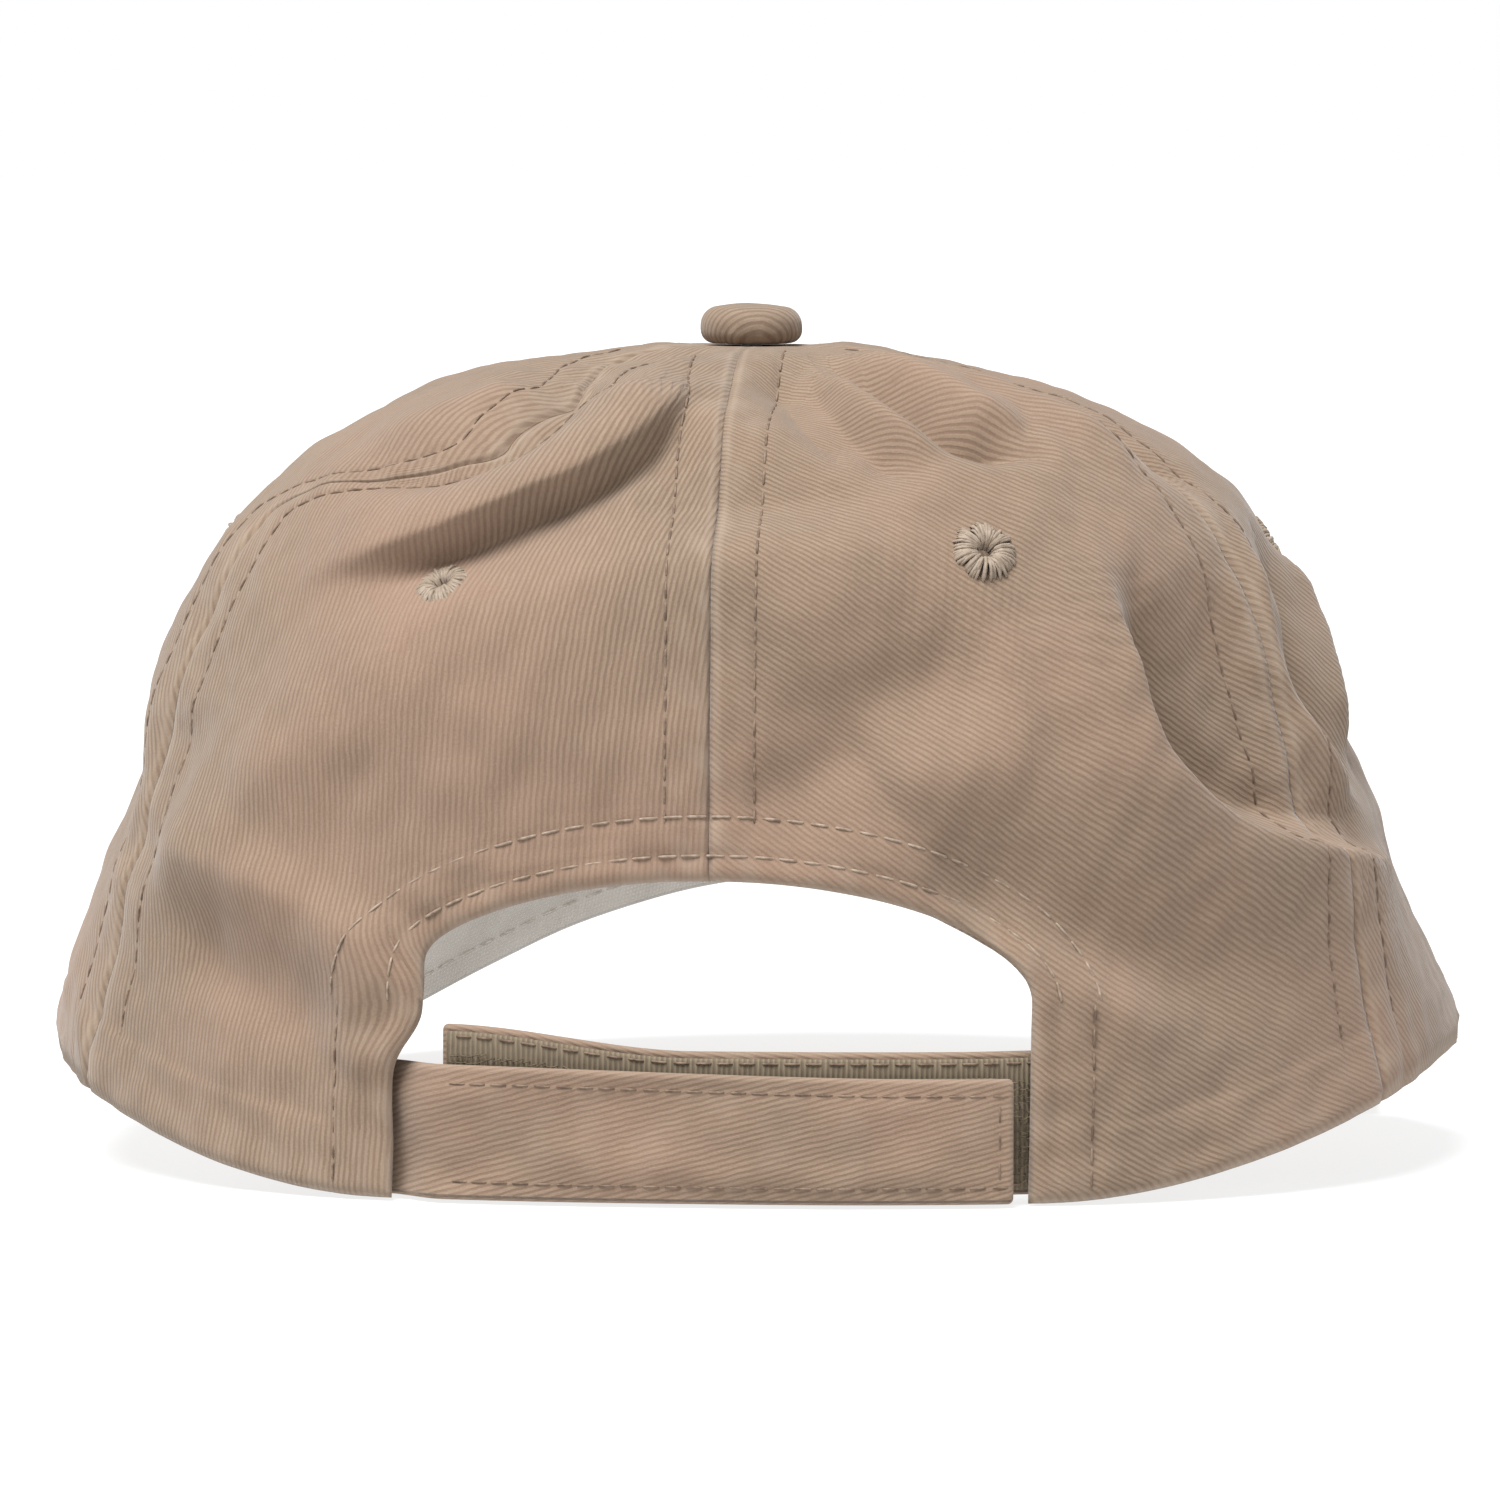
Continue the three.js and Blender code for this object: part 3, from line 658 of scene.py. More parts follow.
EYELET_THREAD = thread_finish("rayon embroidery thread, satin stitched", "#9c8d7e", "#877868", 0.6)
BOARD = moulded_plastic("polyethylene sheet, pressed", "#eceae4", "#d8d5cd", 0.45)
STEEL = pressed_metal("nickel-plated steel, pressed", "#c9c9c6", 0.35)


def finish_piece(piece, material, body, slot, *nodes):
    piece.data.materials.clear()
    piece.data.materials.append(material)
    if body:
        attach(piece, body)
    if nodes:
        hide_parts(*nodes)
    return piece


def finish_node(name, material):
    """Gives a CAD node that keeps its own mesh a better finish."""
    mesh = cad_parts[name].data
    mesh.materials.clear()
    mesh.materials.append(material)


# ---------------------------------------------------------------- stitches and other small repeats

def closed_bar(points, sides):
    """A bar's points, ring after ring, and its faces with both ends closed."""
    index = np.arange(len(points)).reshape(-1, sides)
    faces = grid_faces(index, around=True)[:, ::-1].tolist()
    return np.array(points), faces + [index[0].tolist(), index[-1][::-1].tolist()]


def round_bar(stops, sides):
    """A bar along X from stops of (x, radius, lift): its points and faces."""
    turn = np.linspace(0, 2 * np.pi, sides, endpoint=False)
    points = [[x, np.cos(a) * r, np.sin(a) * r + lift] for x, r, lift in stops for a in turn]
    return closed_bar(points, sides)


def stitch_shape(length, radius):
    """One sewn stitch along X: a short thread that dives into the cloth at both ends."""
    stops = ((-0.5, 0.35, -0.7), (-0.42, 0.9, 0.0), (-0.15, 1.0, 0.35),
             (0.15, 1.0, 0.35), (0.42, 0.9, 0.0), (0.5, 0.35, -0.7))
    return round_bar([(x * length, r * radius, lift * radius) for x, r, lift in stops], 6)


def at_run(run, values, where):
    """The row of values at this distance along a path."""
    return np.array([np.interp(where, run, values[:, c]) for c in range(3)])


def stitch_row(path, normal, pitch=3.0, length=2.5, radius=0.24, seed=1):
    """Stitches along one row, each as its points and faces."""
    rng = np.random.default_rng(seed)
    run = run_lengths(path, 0)
    count = max(1, int(run[-1] / pitch))
    shape, faces = stitch_shape(length, radius)
    made = []
    for k in range(count):
        middle = (k + 0.5) * run[-1] / count + rng.uniform(-0.12, 0.12)
        along = unit(at_run(run, path, middle + length / 2) - at_run(run, path, middle - length / 2))
        side = unit(np.cross(at_run(run, normal, middle), along) + rng.normal(0, 0.04, 3))
        out = np.cross(along, side)
        made.append((at_run(run, path, middle) + shape @ np.stack([along, side, out]), faces))
    return made


def joined(name, parts, material, body, slot):
    """One piece from many small closed solids."""
    points, faces, start = [], [], 0
    for own, quads in parts:
        points.append(own)
        faces += [[i + start for i in f] for f in quads]
        start += len(own)
    return finish_piece(new_piece(name, np.concatenate(points), faces), material, body, slot)


# ---------------------------------------------------------------- crown panels

def row_steps(count):
    """Row positions from 0 to 1, closer together at the lower edge."""
    t = np.linspace(0, 1, count)
    return 0.25 * t ** 2.2 + 0.75 * t


def column_steps(count):
    """Column positions from 0 to 1, closer together at both seams."""
    t = np.linspace(0, 1, count)
    return t - 0.11 * np.sin(2 * np.pi * t)


def closed_panel_grid(first, last, columns=150, rows=200):
    """Angles and rises of a panel that runs from the rim to the top, and which points it has."""
    angle = np.radians(mix(first, last, column_steps(columns)))[:, None] + np.zeros((1, rows))
    rise = rise_near_top(angle, 3.4) * row_steps(rows)[None, :]
    return angle, rise, np.ones(angle.shape, bool)


def opening_panel_grid(arch_columns=105, side_columns=75, low_rows=44, high_rows=165):
    """The back left panel, which stands over the arch and has a leg beside the opening down to the rim."""
    turn = np.linspace(np.pi / 2, 0, arch_columns)
    arch_z = OPENING_SPRING + OPENING_RISE * np.sin(turn)
    arch_angle = angle_at(OPENING_HALF * np.cos(turn), arch_z)
    arch_rise = rise_at(arch_angle, arch_z)
    corner, spring = arch_angle[-1], arch_rise[-1]
    share = np.linspace(0, 1, side_columns)
    share = (0.5 * share + 0.5 * share ** 1.6 + 0.06 * np.sin(2 * np.pi * share))[1:]
    last = np.radians(SEAMS[1])
    start_angle = np.concatenate([arch_angle, mix(corner, last, share)])
    start_rise = np.concatenate([arch_rise, np.full(share.size, spring)])
    spread = np.linspace(0, 1, start_angle.size)
    high_angle = last * (spread - 0.05 * np.sin(2 * np.pi * spread))
    v = row_steps(high_rows)[None, :]
    slide = ease(v, 0, 0.85)
    # columns that start near the corner lean away from the opening, so that none crosses the arch's edge
    from_corner = np.arange(start_angle.size)[:, None] - (arch_columns - 1)
    lean = 0.4 * v * np.exp(-v / 0.08) * bump(from_corner, 35, 4)
    angle = mix(start_angle[:, None], high_angle[:, None], slide) + lean
    rise = mix(start_rise[:, None], rise_near_top(high_angle, 3.4)[:, None], v)
    low = np.linspace(0, 1, low_rows)[None, :-1]
    low_share = np.concatenate([np.zeros(arch_columns), share])[:, None]
    side_z = OPENING_SPRING * low
    side_angle = angle_at(np.full(side_z.shape, OPENING_HALF), side_z)
    low_angle = mix(side_angle, last, low_share)
    low_rise = mix(rise_at(side_angle, side_z), spring * low, low_share)
    keep = np.ones((start_angle.size, low_rows - 1 + high_rows), bool)
    keep[:arch_columns - 1, :low_rows - 1] = False
    return np.concatenate([low_angle, angle], axis=1), np.concatenate([low_rise, rise], axis=1), keep


def opening_edge():
    """Points along the edge of the opening, from the middle of the arch to the rim on the left side."""
    turn = np.linspace(np.pi / 2, 0, 360)
    leg = np.linspace(OPENING_SPRING, 0, 200)[1:]
    z = np.concatenate([OPENING_SPRING + OPENING_RISE * np.sin(turn), leg])
    x = np.concatenate([OPENING_HALF * np.cos(turn), np.full(leg.size, OPENING_HALF)])
    angle = angle_at(x, z)
    return skin(angle, rise_at(angle, z))


def distance_to(points, line):
    """Distance of each point of a grid from a line of points, in slices to save memory."""
    flat, size = points.reshape(-1, 3), 4000
    slices = [flat[i:i + size, None] for i in range(0, len(flat), size)]
    parts = [np.linalg.norm(part - line[None], axis=2).min(axis=1) for part in slices]
    return np.concatenate(parts).reshape(points.shape[:2])


EDGE_LINE = opening_edge()
MIRROR = np.array([-1, 1, 1])


def eyelet_place(name):
    """Where an eyelet sits on the folded crown, and the direction it faces."""
    angle = np.radians(float(EYELETS[name]))
    rise = rise_at(angle, np.array(EYELET_HEIGHT - EYELET_DRAWN_DOWN.get(name, 0.0)))
    rim = cloth(angle + np.array([0.05, -0.05, 0, 0]), rise + np.array([0, 0, 0.03, -0.03]), 0)[0]
    return cloth(angle, rise, 0)[0], unit(np.cross(rim[2] - rim[3], rim[0] - rim[1]))


# How far the ribs of each panel's cloth lean anticlockwise from upright, in degrees.
LEANS = {"back_left": 2, "side_left": 30, "front_left": 52,
         "front_right": 2, "side_right": 25, "back_right": 52}


def crown_panel(name, first, last):
    """One gore of the crown, with its seam allowance, turned lower edge and eyelet hole."""
    if name == "back_left":
        angle, rise, keep = opening_panel_grid()
    elif name == "back_right":
        angle, rise, keep = [grid[::-1] for grid in opening_panel_grid()]
        angle = -angle
    else:
        angle, rise, keep = closed_panel_grid(first, last)
    angle = carried(angle, rise)
    points, normal = cloth(angle, rise)
    smooth = skin(angle, rise)
    across = seam_offset(angle, rise, smooth)
    rim = run_lengths(smooth, 1)
    if name.startswith("back"):
        to_opening = distance_to(smooth, EDGE_LINE if name == "back_left" else EDGE_LINE * MIRROR)
        edge = np.minimum(to_opening, np.where(keep.all(axis=1)[:, None], rim, 99))
    else:
        to_opening, edge = np.full(rim.shape, 99.0), rim
    # the turned edge is a little thicker and rounded over, and dimpled by its two rows of stitches
    out = 0.3 * (1 - ease(edge, 9.0, 10.5)) - 0.9 * bump(edge, 0.6, 1.5)
    out -= 0.3 * sum(bump(to_opening - row, 0.8) for row in ARCH_ROWS)
    out += 0.12 * ripple(smooth, 6.5, 17) * bump(edge - 5, 5)
    points = points + normal * out[..., None]
    middle = np.radians((first + last) / 2)
    turn = (angle - middle + np.pi) % (2 * np.pi) - np.pi
    along = np.linspace(0, 1, 400)
    height = run_lengths(skin(np.full((1, 400), middle), along[None]), 1)[0]
    uv = turned_uv(-turn * from_axis(smooth), np.interp(rise, along, height), LEANS[name])
    wear = 0.5 * bump(edge, 0.8) + 0.3 * bump(across - 0.9, 0.5)
    wear += 0.2 * np.clip(ripple(smooth, 5, 23), 0, 1) * (bump(edge, 5) + bump(across, 5))
    hole = np.linalg.norm(points - eyelet_place(name)[0], axis=-1) < EYELET_HOLE
    piece = sheet_piece("cloth_panel_" + name, points, uv, CLOTH, wear, keep & ~hole)
    finish_piece(piece, TWILL, "crown", "twill", "panel_" + name)
    declare_cut(smooth, keep)


def declare_cut(flat_like, keep=None):
    """Makes a keep mask the shape of this surface and does nothing with it; no cut is declared."""
    keep = np.ones(flat_like.shape[:2], bool) if keep is None else keep


for panel_name, gore in zip(EYELETS, zip(SEAMS[:-1], SEAMS[1:])):
    crown_panel(panel_name, *gore)


def edge_path(distance):
    """Path on the back of the crown at this distance from the edge of the opening, from rim to rim."""
    turn = np.linspace(0, np.pi, 160)
    wide, tall = OPENING_HALF + distance, OPENING_RISE + distance
    x = wide * np.cos(turn)
    z = OPENING_SPRING + tall * np.sin(turn)
    angle = angle_at(x, z)
    points, normal = cloth(angle, rise_at(angle, z))
    return points + normal * 0.05, normal


def side_path(offset, low, high, side):
    """Path beside the opening, up one side at a constant distance from it."""
    z = np.linspace(low, high, 40)
    angle = angle_at(np.full(40, (OPENING_HALF + offset) * side), z)
    points, normal = cloth(angle, rise_at(angle, z))
    return points + normal * 0.1, normal


def seam_path(degrees, offset, low):
    """Path beside one seam, a constant distance from it, up to the button."""
    rise = np.linspace(low, 0.93, 160)
    radius = from_axis(skin(np.radians(degrees) + 0 * rise, rise))
    angle = seam_angle(degrees, rise) + np.arcsin(np.clip(offset / radius, -0.9, 0.9))
    return cloth(angle, rise)


def crown_stitches():
    """Two rows beside every seam, two round the opening and one up each side of it."""
    above_opening = float(rise_at(np.array(0.0), np.array(OPENING_SPRING + OPENING_RISE + 4)))
    rows = []
    for index, degrees in enumerate(SEAMS[:-1]):
        low = above_opening if degrees == 0 else 0.015
        for side in (-1, 1):
            path, normal = seam_path(degrees, side * SEAM_ROW, low)
            rows += stitch_row(path, normal, radius=0.19, seed=index * 2 + (side > 0))
    joined("seam_stitches", rows, SEAM_THREAD, "crown", "thread")
    rows = []
    for seed, distance in enumerate(ARCH_ROWS):
        rows += stitch_row(*edge_path(distance), pitch=3.3, length=2.7, radius=0.19, seed=40 + seed)
    joined("arch_stitches", rows, PALE_THREAD, "crown", "thread")
    rows = []
    for side in (-1, 1):
        path, normal = side_path(8.0, 1.5, OPENING_SPRING, side)
        rows += stitch_row(path, normal, radius=0.2, seed=50)
    joined("strap_root_stitches", rows, SEAM_THREAD, "crown", "thread")


crown_stitches()


# ---------------------------------------------------------------- eyelets

def eyelet_threads(name, seed):
    """Satin stitches that run out from the hole over the rim of the eyelet and dive into the cloth."""
    rng = np.random.default_rng(seed)
    centre, out = eyelet_place(name)
    if name in EYELET_DRAWN_DOWN:
        centre = centre - out * EYELET_SUNK
    side = unit(np.cross(out, (0.0, 0.0, 1.0)))
    up = np.cross(side, out)
    parts = []
    for k in range(EYELET_THREADS):
        turn = 2 * np.pi * (k + rng.uniform(-0.35, 0.35)) / EYELET_THREADS
        spoke = side * math.cos(turn) + up * math.sin(turn)
        inner, outer = 0.85 + rng.uniform(-0.15, 0.5), EYELET_RADIUS + rng.normal(0, 0.2)
        thick, proud = 0.24 + rng.uniform(-0.03, 0.04), 0.12 * (k % 3) + rng.uniform(0, 0.15)
        stops = [(inner, 0.5 * thick, -0.6), (inner + 0.35, thick, 0.35 + proud),
                 (mix(inner, outer, 0.4), thick, 0.75 + proud),
                 (mix(inner, outer, 0.75), thick, 0.5 + proud),
                 (outer - 0.1, thick, 0.05), (outer + 0.15, 0.4 * thick, -0.5)]
        shape, faces = round_bar(stops, 6)
        twist = unit(spoke + (side * rng.normal(0, 0.07) + up * rng.normal(0, 0.07)))
        across = unit(np.cross(out, twist))
        parts.append((centre + shape @ np.stack([twist, across, out]), faces))
    # the inner face is bound the same way, seen from inside the cap
    stops = [(0.8, 0.15, 0.0), (1.3, 0.3, -0.3), (2.6, 0.3, -0.35), (3.4, 0.15, 0.2)]
    shape, faces = round_bar(stops, 5)
    for k in range(EYELET_INNER_THREADS):
        turn = 2 * np.pi * (k + rng.uniform(-0.3, 0.3)) / EYELET_INNER_THREADS
        spoke = side * math.cos(turn) + up * math.sin(turn)
        parts.append((centre - out * CLOTH + shape @ np.stack([spoke, np.cross(out, spoke), out]), faces))
    piece = joined("embroidered_eyelet_" + name, parts, EYELET_THREAD, "crown", "thread")
    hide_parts("eyelet_" + name)


for seed, eyelet_name in enumerate(EYELETS):
    eyelet_threads(eyelet_name, 60 + seed)


# ---------------------------------------------------------------- button on the top

def place_in_mesh(piece):
    select_only(piece)
    bpy.ops.object.transform_apply(location=True, rotation=True, scale=True)


def pick_faces(piece, test):
    """Selects the faces whose centre and normal pass a test, and leaves edit mode on."""
    bpy.ops.object.mode_set(mode="OBJECT")
    for vertex in piece.data.vertices:
        vertex.select = False
    for edge in piece.data.edges:
        edge.select = False
    for face in piece.data.polygons:
        face.select = test(face.center, face.normal)
    bpy.ops.object.mode_set(mode="EDIT")
    bpy.ops.mesh.select_mode(type="FACE")


def button_cover():
    """Pill-shaped cover pulled over a steel shell: rounded over the top, gathered in underneath."""
    base = CROWN_HEIGHT + 0.25
    bpy.ops.object.select_all(action="DESELECT")
    bpy.ops.mesh.primitive_cylinder_add(vertices=72, radius=BUTTON_RADIUS * MM, depth=BUTTON_DEPTH * MM,
                                        location=(0, LEAN * MM, (base + BUTTON_DEPTH / 2) * MM))
    piece = bpy.context.object
    piece.name = piece.data.name = "button_cover"
    place_in_mesh(piece)
    pick_faces(piece, lambda centre, normal: normal.z > 0.9)
    bpy.ops.mesh.bevel(offset=2.7 * MM, segments=8, affect="EDGES")
    pick_faces(piece, lambda centre, normal: normal.z > 0.999)
    for thickness, depth in ((1.2, 0.20), (1.2, 0.12), (1.1, 0.05)):
        bpy.ops.mesh.inset(thickness=thickness * MM, depth=depth * MM)
    bpy.ops.mesh.poke()
    pick_faces(piece, lambda centre, normal: normal.z < -0.9)
    bpy.ops.mesh.bevel(offset=2.0 * MM, segments=6, affect="EDGES")
    pick_faces(piece, lambda centre, normal: normal.z < -0.999)
    bpy.ops.mesh.inset(thickness=0.8 * MM)
    bpy.ops.mesh.delete(type="FACE")
    bpy.ops.object.mode_set(mode="OBJECT")
    apply(piece, "SUBSURF", levels=1, render_levels=1)
    points = np.array([v.co for v in piece.data.vertices]) / MM - (0, LEAN, base)
    r = np.hypot(points[:, 0], points[:, 1])
    turn = np.arctan2(points[:, 1], points[:, 0])
    low = 1 - ease(points[:, 2], 0.2, 3.4)
    rng = np.random.default_rng(90)
    pleats = sum(np.sin(k * turn + rng.uniform(0, 6)) * rng.uniform(0.3, 1) for k in (9, 13, 17, 22))
    swell = 1 + (0.012 * low * pleats + 0.006 * np.sin(3 * turn + 1)) * ease(r, 3, 6)
    tilt = 1 + 0.012 * np.sin(turn + 2)
    placed = points * np.stack([swell, swell, tilt], axis=1)
    piece.data.vertices.foreach_set("co", ((placed + (0, LEAN, base)) * MM).ravel())
    reach = (np.pi / 2 - np.arctan2(points[:, 2] - 1.0, r)) * 4.6 + np.clip(r - 4, 0, None) * 0.35
    flat = np.stack([np.cos(turn) * reach, np.sin(turn) * reach], axis=1)
    paint(piece, turned_uv(-flat[:, 0], flat[:, 1], 78), 0.12 * ease(r, 6, BUTTON_RADIUS))
    apply(piece, "SOLIDIFY", thickness=INNER_CLOTH * MM, offset=-1)
    piece.data.shade_smooth()
    finish_piece(piece, TWILL, "crown", "twill", "button_cloth")


button_cover()
for inner_node in ("button_shell", "button_rivet", "button_washer"):
    finish_node(inner_node, STEEL)


# ---------------------------------------------------------------- layers sewn inside the crown

def flat_grid(across, along):
    """Cloth coordinates of a strip, from its widths and runs."""
    return np.stack(np.broadcast_arrays(across, along), axis=-1)


def side_tape(name, degrees):
    """Tape that covers the raw edges of one seam, from the sweatband up to the button."""
    rise = np.linspace(float(rise_at(np.radians(degrees), rim_height(np.radians(degrees)) + 2)),
                       float(rise_near_top(np.radians(degrees), 13.5)), 130)[None, :]
    offset = np.linspace(-TAPE_HALF, TAPE_HALF, 9)[:, None]
    reach = from_axis(skin(np.radians(degrees) + 0 * rise, rise))
    angle = seam_angle(degrees, rise) + np.arcsin(np.clip(offset / reach, -0.95, 0.95))
    points = inside(angle, rise + 0 * offset, TAPE_DEPTH)[0]
    finish_tape(name, points, offset)


def finish_tape(name, points, across):
    run = run_lengths(points, 1)
    piece = sheet_piece("tape_" + name, points, flat_grid(across, run), INNER_CLOTH)
    finish_piece(piece, TAPE_COTTON, "crown", "tape", "seam_tape_" + name)
    declare_cut(points)


def centre_tape():
    """Tape under the centre seam, from above the opening over the top to the front rim."""
    offset = np.linspace(-TAPE_HALF, TAPE_HALF, 9)[:, None]
    parts = []
    for middle, low in ((0.0, OPENING_SPRING + OPENING_RISE + 12), (np.pi, rim_height(np.pi) + 2)):
        rise = np.linspace(float(rise_at(middle, low)), float(rise_near_top(middle, 13.5)), 110)[None, :]
        reach = from_axis(skin(middle + 0 * rise, rise))
        turn = np.arcsin(np.clip(offset / reach, -0.95, 0.95))
        parts.append(inside(middle + turn * (1 if middle == 0 else -1), rise + 0 * offset, TAPE_DEPTH)[0])
    share = np.linspace(0, 1, 12)[None, 1:-1, None]
    over = mix(parts[0][:, -1:], parts[1][:, -1:], share)
    finish_tape("centre", np.concatenate([parts[0], over, parts[1][:, ::-1]], axis=1), offset)


def arch_facing():
    """Bias strip that faces the edge of the opening on the inside."""
    turn = np.concatenate([np.zeros(12), np.pi * np.linspace(0, 1, 150), np.full(12, np.pi)])[:, None]
    below = np.concatenate([np.linspace(7, 0.6, 12), np.zeros(150), np.linspace(0.6, 7, 12)])[:, None]
    out = np.linspace(0.35, 10.6, 14)[None, :]
    x = -(OPENING_HALF + out) * np.cos(turn)
    z = OPENING_SPRING + (OPENING_RISE + 0.9 * out) * np.sin(turn) - below
    angle = angle_at(x, z)
    points = inside(angle, rise_at(angle, z), 1.15)[0]
    run = run_lengths(points, 0)
    uv = turned_uv(run, out + 0 * run, 45)
    piece = sheet_piece("facing_of_opening", points, uv, INNER_CLOTH)
    finish_piece(piece, TWILL, "crown", "tape", "arch_facing")
    declare_cut(points)


def sweatband():
    """Undyed band sewn round the inside of the rim, with a row of stitches along its lower edge."""
    angle = np.radians(np.linspace(BAND_END_ANGLE, 360 - BAND_END_ANGLE, 300))[:, None]
    # at the front the band also covers the inner edge of the visor, which is sewn in below the rim
    turn = np.abs(np.degrees(angle) - 180)
    lowest = 0.9
    low = lowest - 5.0 * ease(-turn, -VISOR_END_ANGLE, 7 - VISOR_END_ANGLE)
    up = mix(low, BAND_HEIGHT + 0.8, np.linspace(0, 1, 28)[None, :])
    height = rim_height(angle) + np.maximum(up, lowest)
    points, normal = inside(angle + 0 * up, rise_at(angle, height), BAND_DEPTH)
    points[..., 2] -= np.maximum(lowest - up, 0)
    wave = 0.25 * ripple(points, 22, 31) * ease(up, 4, 20)
    points = points - normal * np.clip(wave + 0.2, 0, 1)[..., None]
    run = run_lengths(points, 0)
    piece = sheet_piece("sweatband_cloth", points, flat_grid(run, up), 1.0)
    finish_piece(piece, BAND_COTTON, "crown", "lining", "sweatband")
    declare_cut(points)
    path, facing = points[:, 3] - normal[:, 3] * 1.02, -normal[:, 3]
    joined("sweatband_stitches", stitch_row(path, facing, pitch=3.6, length=3.0, radius=0.2, seed=70),
           BAND_THREAD, "crown", "thread")


for tape_name, seam in (("back_left", 1), ("front_left", 2), ("front_right", 4), ("back_right", 5)):
    side_tape(tape_name, SEAMS[seam])
centre_tape()
arch_facing()
sweatband()


# ---------------------------------------------------------------- visor

def visor_edge(turn, inset):
    """Plan of a line this far inside the visor's free edge; turn runs from -90 to 90 degrees across it."""
    x = -(VISOR_HALF - inset) * np.sin(turn)
    y = -VISOR_ROOT - (VISOR_FRONT - VISOR_ROOT - inset) * np.clip(np.cos(turn), 0, 1) ** 0.82
    return x, y


def visor_surface(side, v, inset):
    """Plan of the visor between the crown and a line inside its free edge."""
    angle = np.pi + np.radians(VISOR_END_ANGLE) * side
    r = rim_radius(angle) - 2.1
    x, y = visor_edge(side * np.pi / 2, inset)
    return mix(r * np.sin(angle), x, v), mix(r * np.cos(angle), y, v)


def visor_cloth(name, upper):
    """Cloth over one face of the visor, turned over its rounded edge to the seam half way down."""
    half = VISOR_DEEP / 2
    side = np.sin(np.linspace(-1, 1, 181) * np.pi / 2)[:, None]
    v = np.linspace(0, 1, 60)[None, :]
    x, y = visor_surface(side, v, half)
    z = visor_height(x, y) - VISOR_SEAM - (0 if upper else VISOR_DEEP)
    place = np.stack([x, y, z], axis=-1)
    edge = place[:, -1]
    ahead = unit(np.gradient(edge[:, :2], axis=0))
    away = np.stack([-ahead[:, 1], ahead[:, 0], np.zeros(len(ahead))], axis=-1)
    away *= np.sign((away[:, :2] * (edge[:, :2] - (0, -60))).sum(axis=1))[:, None]
    roll = np.linspace(0, np.pi / 2, 9)[1:]
    down = -1 if upper else 1
    drop = np.array([0, 0, down * half])
    curl = [edge + away * half * math.sin(a) + drop * (1 - math.cos(a)) for a in roll]
    curl[-1] = curl[-1] - away * 0.35
    points = np.concatenate([place, np.stack(curl, axis=1)], axis=1)
    near_edge = np.linalg.norm(points - edge[:, None], axis=-1)
    puff = 0.12 * ripple(points, 14, 33) + 0.1 * ripple(points, 6, 34) * bump(near_edge, 6)
    for row in VISOR_ROWS:
        puff = puff - 0.16 * bump(near_edge + half - row, 0.7)
    points[:, :60, 2] -= down * puff[:, :60]
    run = run_lengths(np.stack([x[:, 30], y[:, 30], z[:, 30]], axis=-1), 0)
    across = points[..., 0] * (run[-1] / (x[-1, 30] - x[0, 30]))
    uv = turned_uv(across, points[..., 1] + points[..., 2] * 0.4, 40)
    wear = 0.55 * bump(near_edge - half * 1.4, 0.9) + 0.1 * np.clip(ripple(points, 9, 35), 0, 1)
    piece = sheet_piece(name, points, uv, INNER_CLOTH, wear, flip=upper)
    finish_piece(piece, TWILL, "crown", "twill", "visor_cloth_upper" if upper else "visor_cloth_lower")
    declare_cut(points)


def visor_stitches():
    rows = []
    for seed, row in enumerate(VISOR_ROWS):
        turn = np.linspace(-1, 1, 400) * np.pi / 2
        x, y = visor_edge(turn, row)
        clear = np.hypot(x, y) > rim_radius(np.arctan2(x, y)) + 1.5
        x, y = x[clear], y[clear]
        tilt = np.gradient(visor_height(x, y), x)
        for top in (True, False):
            z = visor_height(x, y) - VISOR_SEAM - (0.05 if top else VISOR_DEEP - 0.05)
            facing = unit(np.stack([-tilt, 0 * x, 1 + 0 * x], axis=-1)) * (1 if top else -1)
            rows += stitch_row(np.stack([x, y, z], axis=-1), facing, pitch=3.4, length=2.8, radius=0.22,
                               seed=80 + seed)
    joined("visor_stitches", rows, SEAM_THREAD, "crown", "thread")


visor_cloth("visor_upper_cloth", True)
visor_cloth("visor_lower_cloth", False)
visor_stitches()
finish_node("visor_board", BOARD)


# ---------------------------------------------------------------- back straps and their fastener

def back_line(x, depth):
    """y of the back of the cap at this x, this deep inside the skin."""
    return BACK_DEPTH * (1 - np.abs(x / HALF_WIDTH) ** 2.5) ** 0.4 - depth


def outer_depth(x):
    """The outer strap lies outside the crown, and dips inside it at its sewn end."""
    return mix(-2.2, 2.2, ease(x, 36, 44.5))


def inner_depth(x):
    """The inner strap lies just inside the skin, deepest at its sewn end."""
    return mix(0.8, 1.7, ease(-x, 34, 43))


def inner_lift(x):
    """The inner strap's free end has ridden up."""
    return 3.2 * ease(x, 2, 36)


STRAP_ACROSS = 24


def strap_section(height, thickness, across=STRAP_ACROSS, corner=6):
    """Outline of a flat strap with round edges: heights and depths, outer face first, from the bottom up."""
    r = thickness / 2
    flat = np.linspace(r, height - r, across)
    turn = np.linspace(np.pi / 2, -np.pi / 2, corner + 2)[1:-1]
    up = np.concatenate([flat, height - r + r * np.cos(turn), flat[::-1], r - r * np.cos(turn)])
    out = np.concatenate([np.full(across, r), r * np.sin(turn), np.full(across, -r), -r * np.sin(turn)])
    return up, out


def girth(up, through):
    """Distance round a strap's section, at each of its points."""
    return np.concatenate([[0], np.cumsum(np.hypot(np.diff(up), np.diff(through)))])[None, :]


